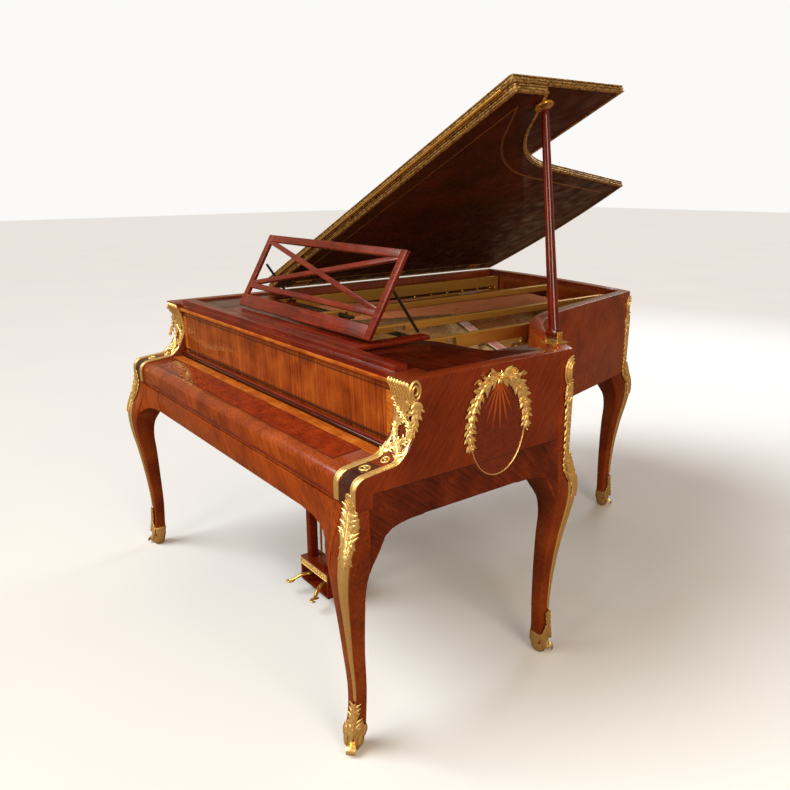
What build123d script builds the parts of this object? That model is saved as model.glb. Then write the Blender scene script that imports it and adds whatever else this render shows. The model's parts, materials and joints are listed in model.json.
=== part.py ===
from build123d import *
import os
from math import cos, radians, sin

os.makedirs("parts", exist_ok=True)

# A grand piano in a Louis XV veneered case with gilt bronze mounts, lid propped open.
# Frame: +Z up from the floor, +X towards the treble, +Y from the keyboard to the tail.

# ---- driving dimensions, millimetres ----
HALF_WIDTH = 740  # case centre line to the outside of either arm
FRONT = -900  # y of the fallboard's front face; puts the whole object's box centre at y = 0
CASE_TOP = 932
CASE_FOOT = 603  # lower edge of the side panels
WALL = 42
INNER_RIM = 40
RIM_FOOT, RIM_TOP = 655, 822  # the ledge that the soundboard and plate stand on
SKIRT_TOP = 655  # where the legs' corner blocks end and the arms begin
SKIRT_FOOT = 585
ARM = 90
CORNER_DEPTH = 687  # front face to the treble corner
BAY_VERTEX = (384, 898)  # where the two straight stretches of the bentside would meet
BAY_RADIUS = 560
TAIL_X, TAIL_DEPTH = 185, 1679
SPINE_DEPTH = 1800  # front face to the bass end of the tail

LID = 15
LID_LAP = 6  # how far the lid stands out past the case
LID_ANGLE = 24.9  # lid open on its prop
LID_GAP = 6
FLAP_LINE = 578  # depth of the hinge between the lid and its front flap
FLAP_FRONT = 163
EDGE = 21  # height of the gilt moulding round the lid
EDGE_PROUD = 6

KEY_PITCH = 1225 / 52
KEY_FRONT, KEY_BACK = 48, 420
KEY_PIVOT = 275
KEY_TOP, KEY_HEIGHT = 694, 22
KEY_GAP = 1.2
STRING_Z = 866
STRING_START = 425
PLATE = 12
PLATE_Z = 838
FALL_HINGE = (156, 746)  # depth and height of the fallboard's hinge

DESK_LEFT, DESK_RIGHT = -384, 401
DESK_DEPTH, DESK_SLANT, DESK_LEAN = 281, 265, 60
DESK_FOOT = 945
BAR = 12  # thickness of the desk's bars

PEDAL_X = (-45, 45)  # each side of the pedal box's own middle
PEDAL_BOX_X = 30


def back(depth):
    """The y of a point this far behind the fallboard's front face."""
    return FRONT + depth


def save(name, piece):
    """Label a finished piece and write it as one STEP file."""
    piece.label = name
    export_step(piece, f"parts/{name}.step")


# corner: where the leg stands, outward direction of each axis there
CORNERS = {
    "front_left": (-HALF_WIDTH, back(0), -1, -1),
    "front_right": (HALF_WIDTH, back(0), 1, -1),
    "treble": (HALF_WIDTH, back(CORNER_DEPTH), 1, 1),
    "tail_right": (TAIL_X, back(TAIL_DEPTH), 1, 1),
    "tail_left": (-HALF_WIDTH, back(SPINE_DEPTH), -1, 1),
}

# ---- plan of the case ----
with BuildSketch() as plan_sketch:
    with BuildLine():
        Polyline(
            (-HALF_WIDTH, back(SPINE_DEPTH)),
            (-HALF_WIDTH, back(0)),
            (HALF_WIDTH, back(0)),
            (HALF_WIDTH, back(CORNER_DEPTH)),
        )
        FilletPolyline(
            (HALF_WIDTH, back(CORNER_DEPTH)),
            (BAY_VERTEX[0], back(BAY_VERTEX[1])),
            (TAIL_X, back(TAIL_DEPTH)),
            radius=BAY_RADIUS,
        )
        ThreePointArc(
            (TAIL_X, back(TAIL_DEPTH)),
            (-270, back(1772)),
            (-HALF_WIDTH, back(SPINE_DEPTH)),
        )
    make_face()
PLAN = plan_sketch.sketch


def ring(outer, inner):
    """The band of the case's plan between two insets from its outside."""
    with BuildSketch() as band:
        offset(PLAN, amount=-outer, kind=Kind.INTERSECTION, mode=Mode.ADD)
        offset(PLAN, amount=-inner, kind=Kind.INTERSECTION, mode=Mode.SUBTRACT)
    return band.sketch


def inside(inset):
    """The case's plan drawn in by an inset."""
    with BuildSketch() as area:
        offset(PLAN, amount=-inset, kind=Kind.INTERSECTION, mode=Mode.ADD)
    return area.sketch


def block(x, y, z):
    """Add a box to the open part, given its lowest and highest x, y and z."""
    with Locations(((x[0] + x[1]) / 2, (y[0] + y[1]) / 2, (z[0] + z[1]) / 2)):
        Box(x[1] - x[0], y[1] - y[0], z[1] - z[0])


def loose_block(x, y, z):
    """A box like block's, kept apart so that many can join a part in one union."""
    middle = Location(((x[0] + x[1]) / 2, (y[0] + y[1]) / 2, (z[0] + z[1]) / 2))
    return middle * Box(x[1] - x[0], y[1] - y[0], z[1] - z[0], mode=Mode.PRIVATE)


# ---- legs: square sections, lowest first ----
# height, side, corner's step outwards along x, corner's step outwards along y
LEG = [
    (0, 46, -28, 14),
    (40, 42, -30, 8),
    (90, 36, -30, -1),
    (170, 36, -30, -4),
    (280, 42, -28, 6),
    (385, 52, -18, 20),
    (450, 60, -8, 31),
    (500, 72, 0, 36),
    (535, 88, 4, 35),
    (565, 98, 5, 29),
    (605, 100, 3, 14),
    (SKIRT_TOP, 100, 0, 0),
]
LEG_BLOCK = 100


def leg_solid(corner, grow=0, top=SKIRT_TOP):
    """A cabriole leg up to a height, each section's outer corner stepped out from the case's corner."""
    x, y, out_x, out_y = corner
    with BuildPart() as leg:
        for height, side, step_x, step_y in LEG:
            if height <= top:
                place = (x + out_x * (step_x - side / 2), y + out_y * (step_y - side / 2), height)
                with BuildSketch(Plane(origin=place)):
                    Rectangle(side + 2 * grow, side + 2 * grow)
        loft(ruled=True)
    return leg.part


LEGS = {name: leg_solid(corner) for name, corner in CORNERS.items()}
for name, leg in LEGS.items():
    save(f"leg_{name}", leg)


def let_in_legs():
    """Cut the legs' corner blocks out of the open part."""
    for leg in LEGS.values():
        add(leg, mode=Mode.SUBTRACT)


# gilt shoes round the feet, and the leaf and rib down each leg's outer arris
SABOT_TOP = 90
with BuildPart() as sabots:
    for name, corner in CORNERS.items():
        add(leg_solid(corner, grow=3, top=SABOT_TOP) - LEGS[name])
    for x, y, out_x, out_y in CORNERS.values():
        with BuildSketch(Plane(origin=(x - out_x * 22, y + out_y * 14, 0))):
            Circle(18)
        extrude(amount=34)
    let_in_legs()
save("sabots", sabots.part)

# height, width, how far it stands out
KNEE = [(170, 10, 4), (385, 14, 5), (500, 26, 7), (560, 62, 9), (640, 56, 8)]


def step_at(height, column):
    """A leg's side or outward step at any height, read between its sections."""
    for low, high in zip(LEG, LEG[1:]):
        if low[0] <= height <= high[0]:
            share = (height - low[0]) / (high[0] - low[0])
            return low[column] + share * (high[column] - low[column])
    return LEG[-1][column]


with BuildPart() as knee_mounts:
    for x, y, out_x, out_y in CORNERS.values():
        with BuildPart(mode=Mode.PRIVATE) as rib:
            for height, width, proud in KNEE:
                corner_x = x + out_x * (step_at(height, 2) + proud - width / 2)
                corner_y = y + out_y * (step_at(height, 3) + proud - width / 2)
                with BuildSketch(Plane(origin=(corner_x, corner_y, height))):
                    Rectangle(width, width)
            loft(ruled=True)
        add(rib.part)
    let_in_legs()
KNEE_MOUNTS = knee_mounts.part


# ---- sides of the case ----
ARM_HIP = (112, 740)  # where the arm's flat top turns up into the scroll
ARM_WAIST = (171, 838)
ARM_CREST = (143, CASE_TOP)


def side_outline(depth_end):
    """A side panel seen from its flank, with the arm's curved front."""
    with BuildSketch() as outline:
        with BuildLine():
            Polyline((back(0), SKIRT_TOP), (back(0), 700))
            ThreePointArc((back(0), 700), (back(9), 722), (back(32), 731))
            Line((back(32), 731), (back(ARM_HIP[0]), ARM_HIP[1]))
            ThreePointArc(
                (back(ARM_HIP[0]), ARM_HIP[1]),
                (back(ARM_WAIST[0]), ARM_WAIST[1]),
                (back(ARM_CREST[0]), ARM_CREST[1]),
            )
            Polyline(
                (back(ARM_CREST[0]), CASE_TOP),
                (back(depth_end), CASE_TOP),
                (back(depth_end), CASE_FOOT),
                (back(0), CASE_FOOT),
                (back(0), SKIRT_TOP),
            )
        make_face()
    return outline.sketch


def side_panel(x_out, depth_end):
    """A straight side: a full-length wall, thicker at the arm."""
    inward = -1 if x_out > 0 else 1
    with BuildPart() as side:
        with BuildSketch(Plane.YZ.offset(x_out)):
            add(side_outline(depth_end))
        extrude(amount=inward * WALL)
        with BuildSketch(Plane.YZ.offset(x_out + inward * WALL)):
            add(side_outline(235))
        extrude(amount=inward * (ARM - WALL))
        let_in_legs()
    return side.part


bass_side = side_panel(-HALF_WIDTH, SPINE_DEPTH - WALL)
save("bass_side", bass_side)
treble_cheek = side_panel(HALF_WIDTH, CORNER_DEPTH - WALL)
save("treble_cheek", treble_cheek)

with BuildPart() as bentside:
    with BuildSketch(Plane.XY.offset(CASE_FOOT)):
        add(ring(0, WALL))
        with Locations((0, back(CORNER_DEPTH - WALL) - 1500)):
            Rectangle(3000, 3000, mode=Mode.SUBTRACT)
        with BuildLine():
            Polyline(
                (-HALF_WIDTH - 100, back(1500)),
                (TAIL_X - 75, back(1500)),
                (TAIL_X - 75, back(1900)),
                (-HALF_WIDTH - 100, back(1900)),
                close=True,
            )
        make_face(mode=Mode.SUBTRACT)
        with Locations((-HALF_WIDTH, back(1200))):
            Rectangle(400, 1400, mode=Mode.SUBTRACT)
    extrude(amount=CASE_TOP - CASE_FOOT)
    let_in_legs()
save("bentside", bentside.part)

with BuildPart() as tail_panel:
    with BuildSketch(Plane.XY.offset(CASE_FOOT)):
        add(ring(0, WALL))
        with Locations((TAIL_X - 75 + 1500, back(1000)), (0, back(TAIL_DEPTH - WALL - 45) - 1500)):
            Rectangle(3000, 3000, mode=Mode.SUBTRACT)
    extrude(amount=CASE_TOP - CASE_FOOT)
    for piece in (bass_side, bentside.part):
        add(piece, mode=Mode.SUBTRACT)
    let_in_legs()
save("tail_panel", tail_panel.part)

with BuildPart() as inner_rim:
    with BuildSketch(Plane.XY.offset(RIM_FOOT)):
        add(ring(WALL, WALL + INNER_RIM))
        with Locations((0, back(470) - 1500)):
            Rectangle(3000, 3000, mode=Mode.SUBTRACT)
    extrude(amount=RIM_TOP - RIM_FOOT)
save("inner_rim", inner_rim.part)

with BuildPart() as bottom_beams:
    with BuildSketch(Plane.XY.offset(RIM_FOOT)):
        add(inside(WALL + INNER_RIM))
        with BuildSketch(mode=Mode.INTERSECT):
            with Locations((0, back(760)), (0, back(1080)), (0, back(1400))):
                Rectangle(2 * HALF_WIDTH, 60)
    extrude(amount=70)
save("bottom_beams", bottom_beams.part)

with BuildPart() as knee_mounts_fitted:
    add(KNEE_MOUNTS)
    for piece in (bass_side, treble_cheek, bentside.part, tail_panel.part):
        add(piece, mode=Mode.SUBTRACT)
save("knee_mounts", knee_mounts_fitted.part)

# gilt pendants down the case's corners behind the arms
PENDANT, PENDANT_PROUD = 40, 9
PENDANT_Z = (694, 915)
with BuildPart() as corner_mounts:
    for name in ("treble", "tail_right", "tail_left"):
        x, y, out_x, out_y = CORNERS[name]
        near_x, near_y = x + out_x * PENDANT_PROUD, y + out_y * PENDANT_PROUD
        span_x = sorted((near_x, near_x - out_x * PENDANT))
        span_y = sorted((near_y, near_y - out_y * PENDANT))
        block(span_x, span_y, PENDANT_Z)
    for piece in (bass_side, treble_cheek, bentside.part, tail_panel.part):
        add(piece, mode=Mode.SUBTRACT)
save("corner_mounts", corner_mounts.part)

# gilt arm mounts: a moulding along each edge of the arm, joined in the scroll at the top
MOUNT_PROUD, MOUNT_EDGE, SCROLL_FOOT = 7, 15, 800
with BuildPart() as arm_mounts:
    for side in (-1, 1):
        for start, width in ((0, MOUNT_EDGE), (ARM - MOUNT_EDGE, MOUNT_EDGE), (0, ARM)):
            with BuildPart(mode=Mode.PRIVATE) as strip:
                with BuildSketch(Plane.YZ.offset(side * (HALF_WIDTH - start))):
                    offset(side_outline(235), amount=MOUNT_PROUD, kind=Kind.INTERSECTION)
                    add(side_outline(235), mode=Mode.SUBTRACT)
                    foot = SCROLL_FOOT if width == ARM else SKIRT_TOP + 8
                    with Locations((back(60), (foot + CASE_TOP) / 2)):
                        Rectangle(240, CASE_TOP - foot, mode=Mode.INTERSECT)
                extrude(amount=-side * width)
            add(strip.part)
save("arm_mounts", arm_mounts.part)

# a laurel wreath round the oval inlay on each flank
WREATH = (424, 790)  # depth and height of its middle
WREATH_SIZE, WREATH_BAND, WREATH_PROUD = (113, 134), 22, 9
with BuildPart() as wreaths:
    for side in (-1, 1):
        with BuildSketch(Plane.YZ.offset(side * HALF_WIDTH)):
            with Locations((back(WREATH[0]), WREATH[1])):
                Ellipse(*WREATH_SIZE)
                Ellipse(*(radius - WREATH_BAND for radius in WREATH_SIZE), mode=Mode.SUBTRACT)
        extrude(amount=side * WREATH_PROUD)
save("wreaths", wreaths.part)

# ---- keyboard end ----
INNER_X = HALF_WIDTH - ARM

with BuildPart() as keybed:
    block((-HALF_WIDTH + WALL, HALF_WIDTH - WALL), (back(235), back(470)), (CASE_FOOT, 640))
    block((-INNER_X, INNER_X), (back(24), back(235)), (CASE_FOOT, 640))
    let_in_legs()
save("keybed", keybed.part)

with BuildPart() as front_skirt:
    block((-HALF_WIDTH + LEG_BLOCK, HALF_WIDTH - LEG_BLOCK), (back(0), back(24)), (SKIRT_FOOT, SKIRT_TOP - 1))
save("front_skirt", front_skirt.part)

with BuildPart() as key_slip:
    block((-INNER_X + 12, INNER_X - 12), (back(26), back(42)), (640, 684))
save("key_slip", key_slip.part)

KEYS_HALF = 26 * KEY_PITCH
with BuildPart() as key_blocks:
    for side in (-1, 1):
        block(sorted((side * (KEYS_HALF + 2), side * (INNER_X - 1))), (back(44), back(165)), (SKIRT_TOP + 1, 706))
save("key_blocks", key_blocks.part)

with BuildPart() as name_board:
    block((-INNER_X, INNER_X), (back(170), back(190)), (712, 905))
save("name_board", name_board.part)

with BuildPart() as name_board_cap:
    block((-INNER_X, INNER_X), (back(157), back(212)), (905, CASE_TOP))
    block((-INNER_X, INNER_X), (back(172), back(210)), (CASE_TOP, CASE_TOP + 12))
save("name_board_cap", name_board_cap.part)

LIP_FOOT = SKIRT_TOP + 2
with BuildPart() as fallboard:
    with BuildSketch(Plane.YZ.offset(-INNER_X + 2)):
        with BuildLine():
            Line((back(2), LIP_FOOT), (back(2), 700))
            ThreePointArc((back(2), 700), (back(11), 720), (back(32), 729))
            Polyline(
                (back(32), 729),
                (back(FALL_HINGE[0] - 2), 739),
                (back(FALL_HINGE[0] - 2), 721),
                (back(40), 712),
            )
            ThreePointArc((back(40), 712), (back(24), 706), (back(18), 692))
            Polyline((back(18), 692), (back(18), LIP_FOOT), (back(2), LIP_FOOT))
        make_face()
    extrude(amount=2 * (INNER_X - 2))
save("fallboard", fallboard.part)

with BuildPart() as fallboard_hinge:
    block((-INNER_X + 6, INNER_X - 6), (back(FALL_HINGE[0] + 4), back(170)), (738, 744))
    with BuildSketch(Plane.YZ.offset(-INNER_X + 6)):
        with Locations((back(FALL_HINGE[0]), FALL_HINGE[1])):
            Circle(4.5)
    extrude(amount=2 * (INNER_X - 6))
save("fallboard_hinge", fallboard_hinge.part)

BOARD_TOP, BOARD = 926, 14


def candle_outline(side):
    """The plan of the flat board on one side of the music desk."""
    with BuildSketch() as outline:
        with BuildLine():
            Line((side * 408, back(213)), (side * 354, back(376)))
            ThreePointArc((side * 354, back(376)), (side * 385, back(455)), (side * 457, back(489)))
            Line((side * 457, back(489)), (side * 583, back(511)))
            ThreePointArc((side * 583, back(511)), (side * 602, back(525)), (side * 609, back(544)))
            Polyline(
                (side * 609, back(544)),
                (side * 606, back(640)),
                (side * (HALF_WIDTH - WALL), back(640)),
                (side * (HALF_WIDTH - WALL), back(236)),
                (side * INNER_X, back(236)),
                (side * INNER_X, back(213)),
                (side * 408, back(213)),
            )
        make_face()
    return outline.sketch


with BuildPart() as candle_boards:
    with BuildSketch(Plane.XY.offset(BOARD_TOP - BOARD)):
        add(candle_outline(-1))
        add(candle_outline(1))
    extrude(amount=BOARD)
save("candle_boards", candle_boards.part)

# ---- music desk ----
SHELF_Z = (928, 940)
RUNNER = 44
with BuildPart() as desk_shelf:
    block((DESK_LEFT - 6, DESK_RIGHT + 6), (back(222), back(300)), SHELF_Z)
    for x in (DESK_LEFT - 6, DESK_RIGHT + 6 - RUNNER):
        block((x, x + RUNNER), (back(300), back(480)), SHELF_Z)
save("desk_shelf", desk_shelf.part)

DESK_PLANE = Plane(
    origin=(0, back(DESK_DEPTH), DESK_FOOT),
    x_dir=(1, 0, 0),
    z_dir=(0, -sin(radians(DESK_LEAN)), cos(radians(DESK_LEAN))),
)
STILE, TOP_RAIL, LOW_RAIL, LINE_RAIL = 26, 24, 42, 18
LINE_RAIL_AT = 68  # foot of the second rail above the desk's own foot


def desk_box(x, up):
    """A flat bar of the desk, between two x and two heights up its slope."""
    middle = Location(((x[0] + x[1]) / 2, (up[0] + up[1]) / 2, BAR / 2))
    with Locations(DESK_PLANE.location * middle):
        Box(x[1] - x[0], up[1] - up[0], BAR)


with BuildPart() as desk_stiles:
    for x in (DESK_LEFT, DESK_RIGHT - STILE):
        desk_box((x, x + STILE), (0, DESK_SLANT))
save("desk_stiles", desk_stiles.part)

RAIL_X = (DESK_LEFT + STILE, DESK_RIGHT - STILE)
with BuildPart() as desk_rails:
    desk_box(RAIL_X, (0, LOW_RAIL))
    desk_box(RAIL_X, (LINE_RAIL_AT, LINE_RAIL_AT + LINE_RAIL))
    desk_box(RAIL_X, (DESK_SLANT - TOP_RAIL, DESK_SLANT))
save("desk_rails", desk_rails.part)

CROSS_FOOT, CROSS_TOP = LINE_RAIL_AT + LINE_RAIL, DESK_SLANT - TOP_RAIL
CROSS_BAR = 17
with BuildPart() as desk_lattice:
    with BuildSketch(DESK_PLANE.offset(1)):
        for foot_x, top_x in (RAIL_X, RAIL_X[::-1]):
            with BuildLine():
                slope = CROSS_BAR / 2
                Polyline(
                    (foot_x, CROSS_FOOT - slope),
                    (foot_x, CROSS_FOOT + slope),
                    (top_x, CROSS_TOP + slope),
                    (top_x, CROSS_TOP - slope),
                    close=True,
                )
            make_face()
        with Locations(((RAIL_X[0] + RAIL_X[1]) / 2, (CROSS_FOOT + CROSS_TOP) / 2)):
            Rectangle(RAIL_X[1] - RAIL_X[0], CROSS_TOP - CROSS_FOOT, mode=Mode.INTERSECT)
    extrude(amount=BAR - 2)
save("desk_lattice", desk_lattice.part)

# stays: struts behind the stiles, jointed to the desk and standing on the shelf's runners
STAY_UP, STAY_LENGTH, STAY_ANGLE = 160, 168, 55.5
STAY_Y = back(DESK_DEPTH) + STAY_UP * cos(radians(DESK_LEAN))
STAY_Z = DESK_FOOT + STAY_UP * sin(radians(DESK_LEAN))
with BuildPart() as desk_stays:
    for x in (DESK_LEFT + STILE + 2, DESK_RIGHT - STILE - 8):
        swing = Location((x + 3, STAY_Y + 8, STAY_Z), (-STAY_ANGLE, 0, 0))
        with Locations(swing * Location((0, STAY_LENGTH / 2, 0))):
            Box(6, STAY_LENGTH, 8)
save("desk_stays", desk_stays.part)

# ---- lid, built in its own leaning plane: x up the slope from the hinge, y along the case ----
LID_PLANE = Plane(
    origin=(-HALF_WIDTH, 0, CASE_TOP + LID_GAP),
    x_dir=(cos(radians(LID_ANGLE)), 0, sin(radians(LID_ANGLE))),
    z_dir=(-sin(radians(LID_ANGLE)), 0, cos(radians(LID_ANGLE))),
)


def lid_outline(grow):
    """The case's plan standing out by grow, shifted so that the hinge is at x = 0."""
    with BuildSketch() as outline:
        with Locations((HALF_WIDTH, 0)):
            add(offset(PLAN, amount=grow, kind=Kind.INTERSECTION, mode=Mode.PRIVATE))
        with Locations((1500, back(FLAP_LINE + 1) + 1500)):
            Rectangle(3000, 3000, mode=Mode.INTERSECT)
    return outline.sketch


def flap_outline(grow):
    """The flap folded back over the lid, its free edge towards the tail."""
    wide, deep = 2 * HALF_WIDTH + grow, FLAP_LINE - FLAP_FRONT + grow
    with BuildSketch() as outline:
        with Locations((wide / 2, back(FLAP_LINE + 1) + deep / 2)):
            Rectangle(wide, deep)
    return outline.sketch


MOULDING = 12  # width of the gilt moulding's foot on the lid's edge
MAIN_Z, FLAP_Z = (EDGE - LID) / 2, EDGE + 4 + (EDGE - LID) / 2

with BuildPart() as lid_main:
    with BuildSketch(LID_PLANE.offset(MAIN_Z)):
        add(lid_outline(LID_LAP))
    extrude(amount=LID)
save("lid_main", lid_main.part)

with BuildPart() as lid_flap:
    with BuildSketch(LID_PLANE.offset(FLAP_Z)):
        add(flap_outline(LID_LAP))
    extrude(amount=LID)
save("lid_flap", lid_flap.part)

with BuildPart() as lid_moulding:
    with BuildSketch(LID_PLANE):
        add(lid_outline(LID_LAP + EDGE_PROUD))
        add(lid_outline(LID_LAP - MOULDING), mode=Mode.SUBTRACT)
    extrude(amount=EDGE)
    add(lid_main.part, mode=Mode.SUBTRACT)
save("lid_moulding", lid_moulding.part)

with BuildPart() as flap_moulding:
    with BuildSketch(LID_PLANE.offset(EDGE + 4)):
        add(flap_outline(LID_LAP + EDGE_PROUD))
        add(flap_outline(LID_LAP - MOULDING), mode=Mode.SUBTRACT)
    extrude(amount=EDGE)
    add(lid_flap.part, mode=Mode.SUBTRACT)
save("flap_moulding", flap_moulding.part)

# hinges: leaves on the case's spine and the lid's edge with a knuckle between
HINGE_Y = (back(700), back(1180), back(1640))
with BuildPart() as lid_hinges:
    with BuildSketch(LID_PLANE.offset(-3)):
        with Locations(*((45, y) for y in HINGE_Y)):
            Rectangle(50, 70)
    extrude(amount=3)
save("lid_hinges", lid_hinges.part)

with BuildPart() as flap_hinge:
    with Locations(LID_PLANE.location * Location((HALF_WIDTH, back(FLAP_LINE) - EDGE_PROUD - 4, EDGE + 2))):
        Cylinder(4, 2 * HALF_WIDTH - 60, rotation=(0, 90, 0))
    with Locations(LID_PLANE.location * Location((HALF_WIDTH, back(FLAP_LINE) - 3, EDGE + 1))):
        Box(2 * HALF_WIDTH - 60, 18, 2)
save("flap_hinge", flap_hinge.part)

# ---- prop ----
PROP_FOOT = Vector(662, back(700), 957)
CUP_AT = (1440, back(722))
CUP_RADIUS, CUP = 26, 8
TIP_GAP = 6
PROP_TIP = Vector(*(LID_PLANE * Location((*CUP_AT, -CUP - TIP_GAP))).position)
with BuildPart() as prop_cup:
    with BuildSketch(LID_PLANE.offset(-CUP)):
        with Locations(CUP_AT):
            Circle(CUP_RADIUS)
    extrude(amount=CUP)
save("prop_cup", prop_cup.part)

PROP_PIN = 4
EAR_GAP = 18
PROP_LINE = PROP_TIP - PROP_FOOT
with BuildPart() as prop_stick:
    with BuildSketch(Plane(origin=PROP_FOOT, z_dir=PROP_LINE)):
        Circle(15)
    with BuildSketch(Plane(origin=PROP_TIP, z_dir=PROP_LINE)):
        Circle(10)
    loft(ruled=True)
    with Locations(PROP_FOOT):
        Cylinder(15, 2 * (EAR_GAP - 1), rotation=(0, 90, 0))
        Cylinder(PROP_PIN + 0.06, 100, rotation=(0, 90, 0), mode=Mode.SUBTRACT)
save("prop_stick", prop_stick.part)

with BuildPart() as prop_bracket:
    base_x, base_y = PROP_FOOT.X, PROP_FOOT.Y
    block((base_x - 26, base_x + 26), (base_y - 22, base_y + 30), (CASE_TOP, CASE_TOP + 4))
    for side in (-1, 1):
        ear_x = sorted((base_x + side * EAR_GAP, base_x + side * (EAR_GAP + 4)))
        block(ear_x, (base_y - 9, base_y + 9), (CASE_TOP, PROP_FOOT.Z + 8))
    with Locations(PROP_FOOT):
        Cylinder(PROP_PIN, 2 * (EAR_GAP + 6), rotation=(0, 90, 0))
save("prop_bracket", prop_bracket.part)

# ---- soundboard, plate and strings ----
BOARD_Z = RIM_TOP
with BuildPart() as soundboard:
    with BuildSketch(Plane.XY.offset(BOARD_Z)):
        add(inside(WALL + 1))
        with Locations((0, back(600) - 1500)):
            Rectangle(3000, 3000, mode=Mode.SUBTRACT)
    extrude(amount=8)
    for y, x in ((760, 420), (940, 250), (1120, 150), (1300, 100), (1480, 60)):
        block((-HALF_WIDTH + WALL + INNER_RIM + 10, x), (back(y), back(y + 24)), (BOARD_Z - 22, BOARD_Z))
save("soundboard", soundboard.part)

# a string runs from its tuning pin at the front to a hitch pin behind its bridge
BASS, TREBLE = 26, 62


def bass_ends(number):
    """Front and rear ends of one overstrung bass string, numbered from the lowest."""
    share = number / (BASS - 1)
    return (-600 + 330 * share, back(STRING_START)), (-330 + 430 * share, back(1600 - 130 * share))


def treble_ends(number):
    """Front and rear ends of one treble string, numbered from the tenor up."""
    share = number / (TREBLE - 1)
    return (-255 + 865 * share, back(STRING_START)), (-520 + 1085 * share, back(1520 - 820 * share**0.55))


def string(ends, z, radius):
    """One string, kept apart for the union with its neighbours."""
    front, rear = (Vector(*end, z) for end in ends)
    middle = Plane(origin=(front + rear) / 2, z_dir=rear - front).location
    return middle * Cylinder(radius, (rear - front).length, mode=Mode.PRIVATE)


with BuildPart() as bass_strings:
    add([string(bass_ends(number), STRING_Z + 16, 2.2 - 0.04 * number) for number in range(BASS)])
save("bass_strings", bass_strings.part)

with BuildPart() as treble_strings:
    add([string(treble_ends(number), STRING_Z, 0.9 - 0.006 * number) for number in range(TREBLE)])
save("treble_strings", treble_strings.part)

# the plate: a web in front, a flange round the rim, and struts over the strings between them
STRUT, STRUT_TOP = 22, 911
STRUTS = ((-640, 862), (-262, 887), (82, 887), (332, 870), (618, 870))  # x, and height of its underside
DAMPER_GAP = (back(592), back(632))
with BuildPart() as iron_plate:
    with BuildSketch(Plane.XY.offset(PLATE_Z)):
        add(inside(WALL + 6))
        with Locations((0, back(330) - 1500)):
            Rectangle(3000, 3000, mode=Mode.SUBTRACT)
        with BuildSketch(mode=Mode.SUBTRACT) as sounding:
            add(inside(100))
            with Locations((0, back(452) - 1500)):
                Rectangle(3000, 3000, mode=Mode.SUBTRACT)
    extrude(amount=PLATE)
    for x, underside in STRUTS:
        for foot, top, feet_only in ((PLATE_Z + PLATE, underside, True), (underside, STRUT_TOP, False)):
            with BuildSketch(Plane.XY.offset(foot)):
                with Locations((x, back(412) + 1000)):
                    Rectangle(STRUT, 2000)
                add(inside(WALL + 6), mode=Mode.INTERSECT)
                if feet_only:
                    with BuildSketch(mode=Mode.SUBTRACT):
                        add(inside(72))
                        with Locations((0, back(423) - 1500)):
                            Rectangle(3000, 3000, mode=Mode.SUBTRACT)
            extrude(amount=top - foot)
    # the struts arch over the line of dampers
    with Locations((0, sum(DAMPER_GAP) / 2, 878)):
        Box(2 * HALF_WIDTH - 140, DAMPER_GAP[1] - DAMPER_GAP[0], 50, mode=Mode.SUBTRACT)
    add(bentside.part, mode=Mode.SUBTRACT)
save("iron_plate", iron_plate.part)

# bridges: bars on the soundboard under the strings' rear ends
BRIDGE = 24
BRIDGE_STOPS = (0, 0.1, 0.25, 0.45, 0.7, 1)  # where along the strings the bridge turns
BRIDGE_SETBACK = 70  # from a string's rear end forward to its bridge


def bridge(ends_of, last, top):
    """A bar that follows the rear ends of a run of strings."""
    with BuildPart() as bar:
        with BuildSketch(Plane.XY.offset(BOARD_Z + 8)):
            with BuildLine():
                run = [Vector(*ends_of(round(last * share))[1]) - Vector(0, BRIDGE_SETBACK) for share in BRIDGE_STOPS]
                near = Polyline(*run)
                far = Polyline(*(point + Vector(0, BRIDGE) for point in run))
                Line(near @ 0, far @ 0)
                Line(near @ 1, far @ 1)
            make_face()
        extrude(amount=top - BOARD_Z - 8)
    return bar.part


save("bass_bridge", bridge(bass_ends, BASS - 1, STRING_Z + 13))
save("treble_bridge", bridge(treble_ends, TREBLE - 1, STRING_Z - 1))

with BuildPart() as pin_block:
    block((-HALF_WIDTH + WALL + 6, HALF_WIDTH - WALL - 6), (back(270), back(410)), (796, PLATE_Z))
save("pin_block", pin_block.part)

PIN, PIN_TOP = 3.4, 896
PIN_ROWS = (300, 318, 336)
PLATE_TOP = PLATE_Z + PLATE
PIN_PLACES = []
for number in range(BASS + TREBLE):
    front = bass_ends(number)[0] if number < BASS else treble_ends(number - BASS)[0]
    PIN_PLACES.append((front[0], back(PIN_ROWS[number % 3]), (PLATE_TOP + PIN_TOP) / 2))
with BuildPart() as tuning_pins:
    with Locations(*PIN_PLACES):
        Cylinder(PIN, PIN_TOP - PLATE_TOP)
save("tuning_pins", tuning_pins.part)

# ---- keys: 88 notes from A, each with an equal share of the width behind the front edge ----
SHARP_PITCHES = (1, 3, 6, 8, 10)  # counted up from C
FIRST_NOTE, LAST_NOTE = 9, 96
FIRST_WHITE = 5  # whites between that octave's C and the first key
FRONT_LENGTH = 50


def key_stick(note):
    """A key's edge and width behind the wide fronts, and its wide front's edge if it is white."""
    octave, pitch = divmod(note, 12)
    low_group = pitch < 5
    whites, sticks, start = (3, 5, 0) if low_group else (4, 7, 3)
    stick = whites * KEY_PITCH / sticks
    group_x = (octave * 7 + start - FIRST_WHITE - 26) * KEY_PITCH
    step = pitch if low_group else pitch - 5
    white = sum(1 for below in range(pitch) if below not in SHARP_PITCHES)
    front_x = (octave * 7 + white - FIRST_WHITE - 26) * KEY_PITCH
    return group_x + step * stick, stick, front_x


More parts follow.
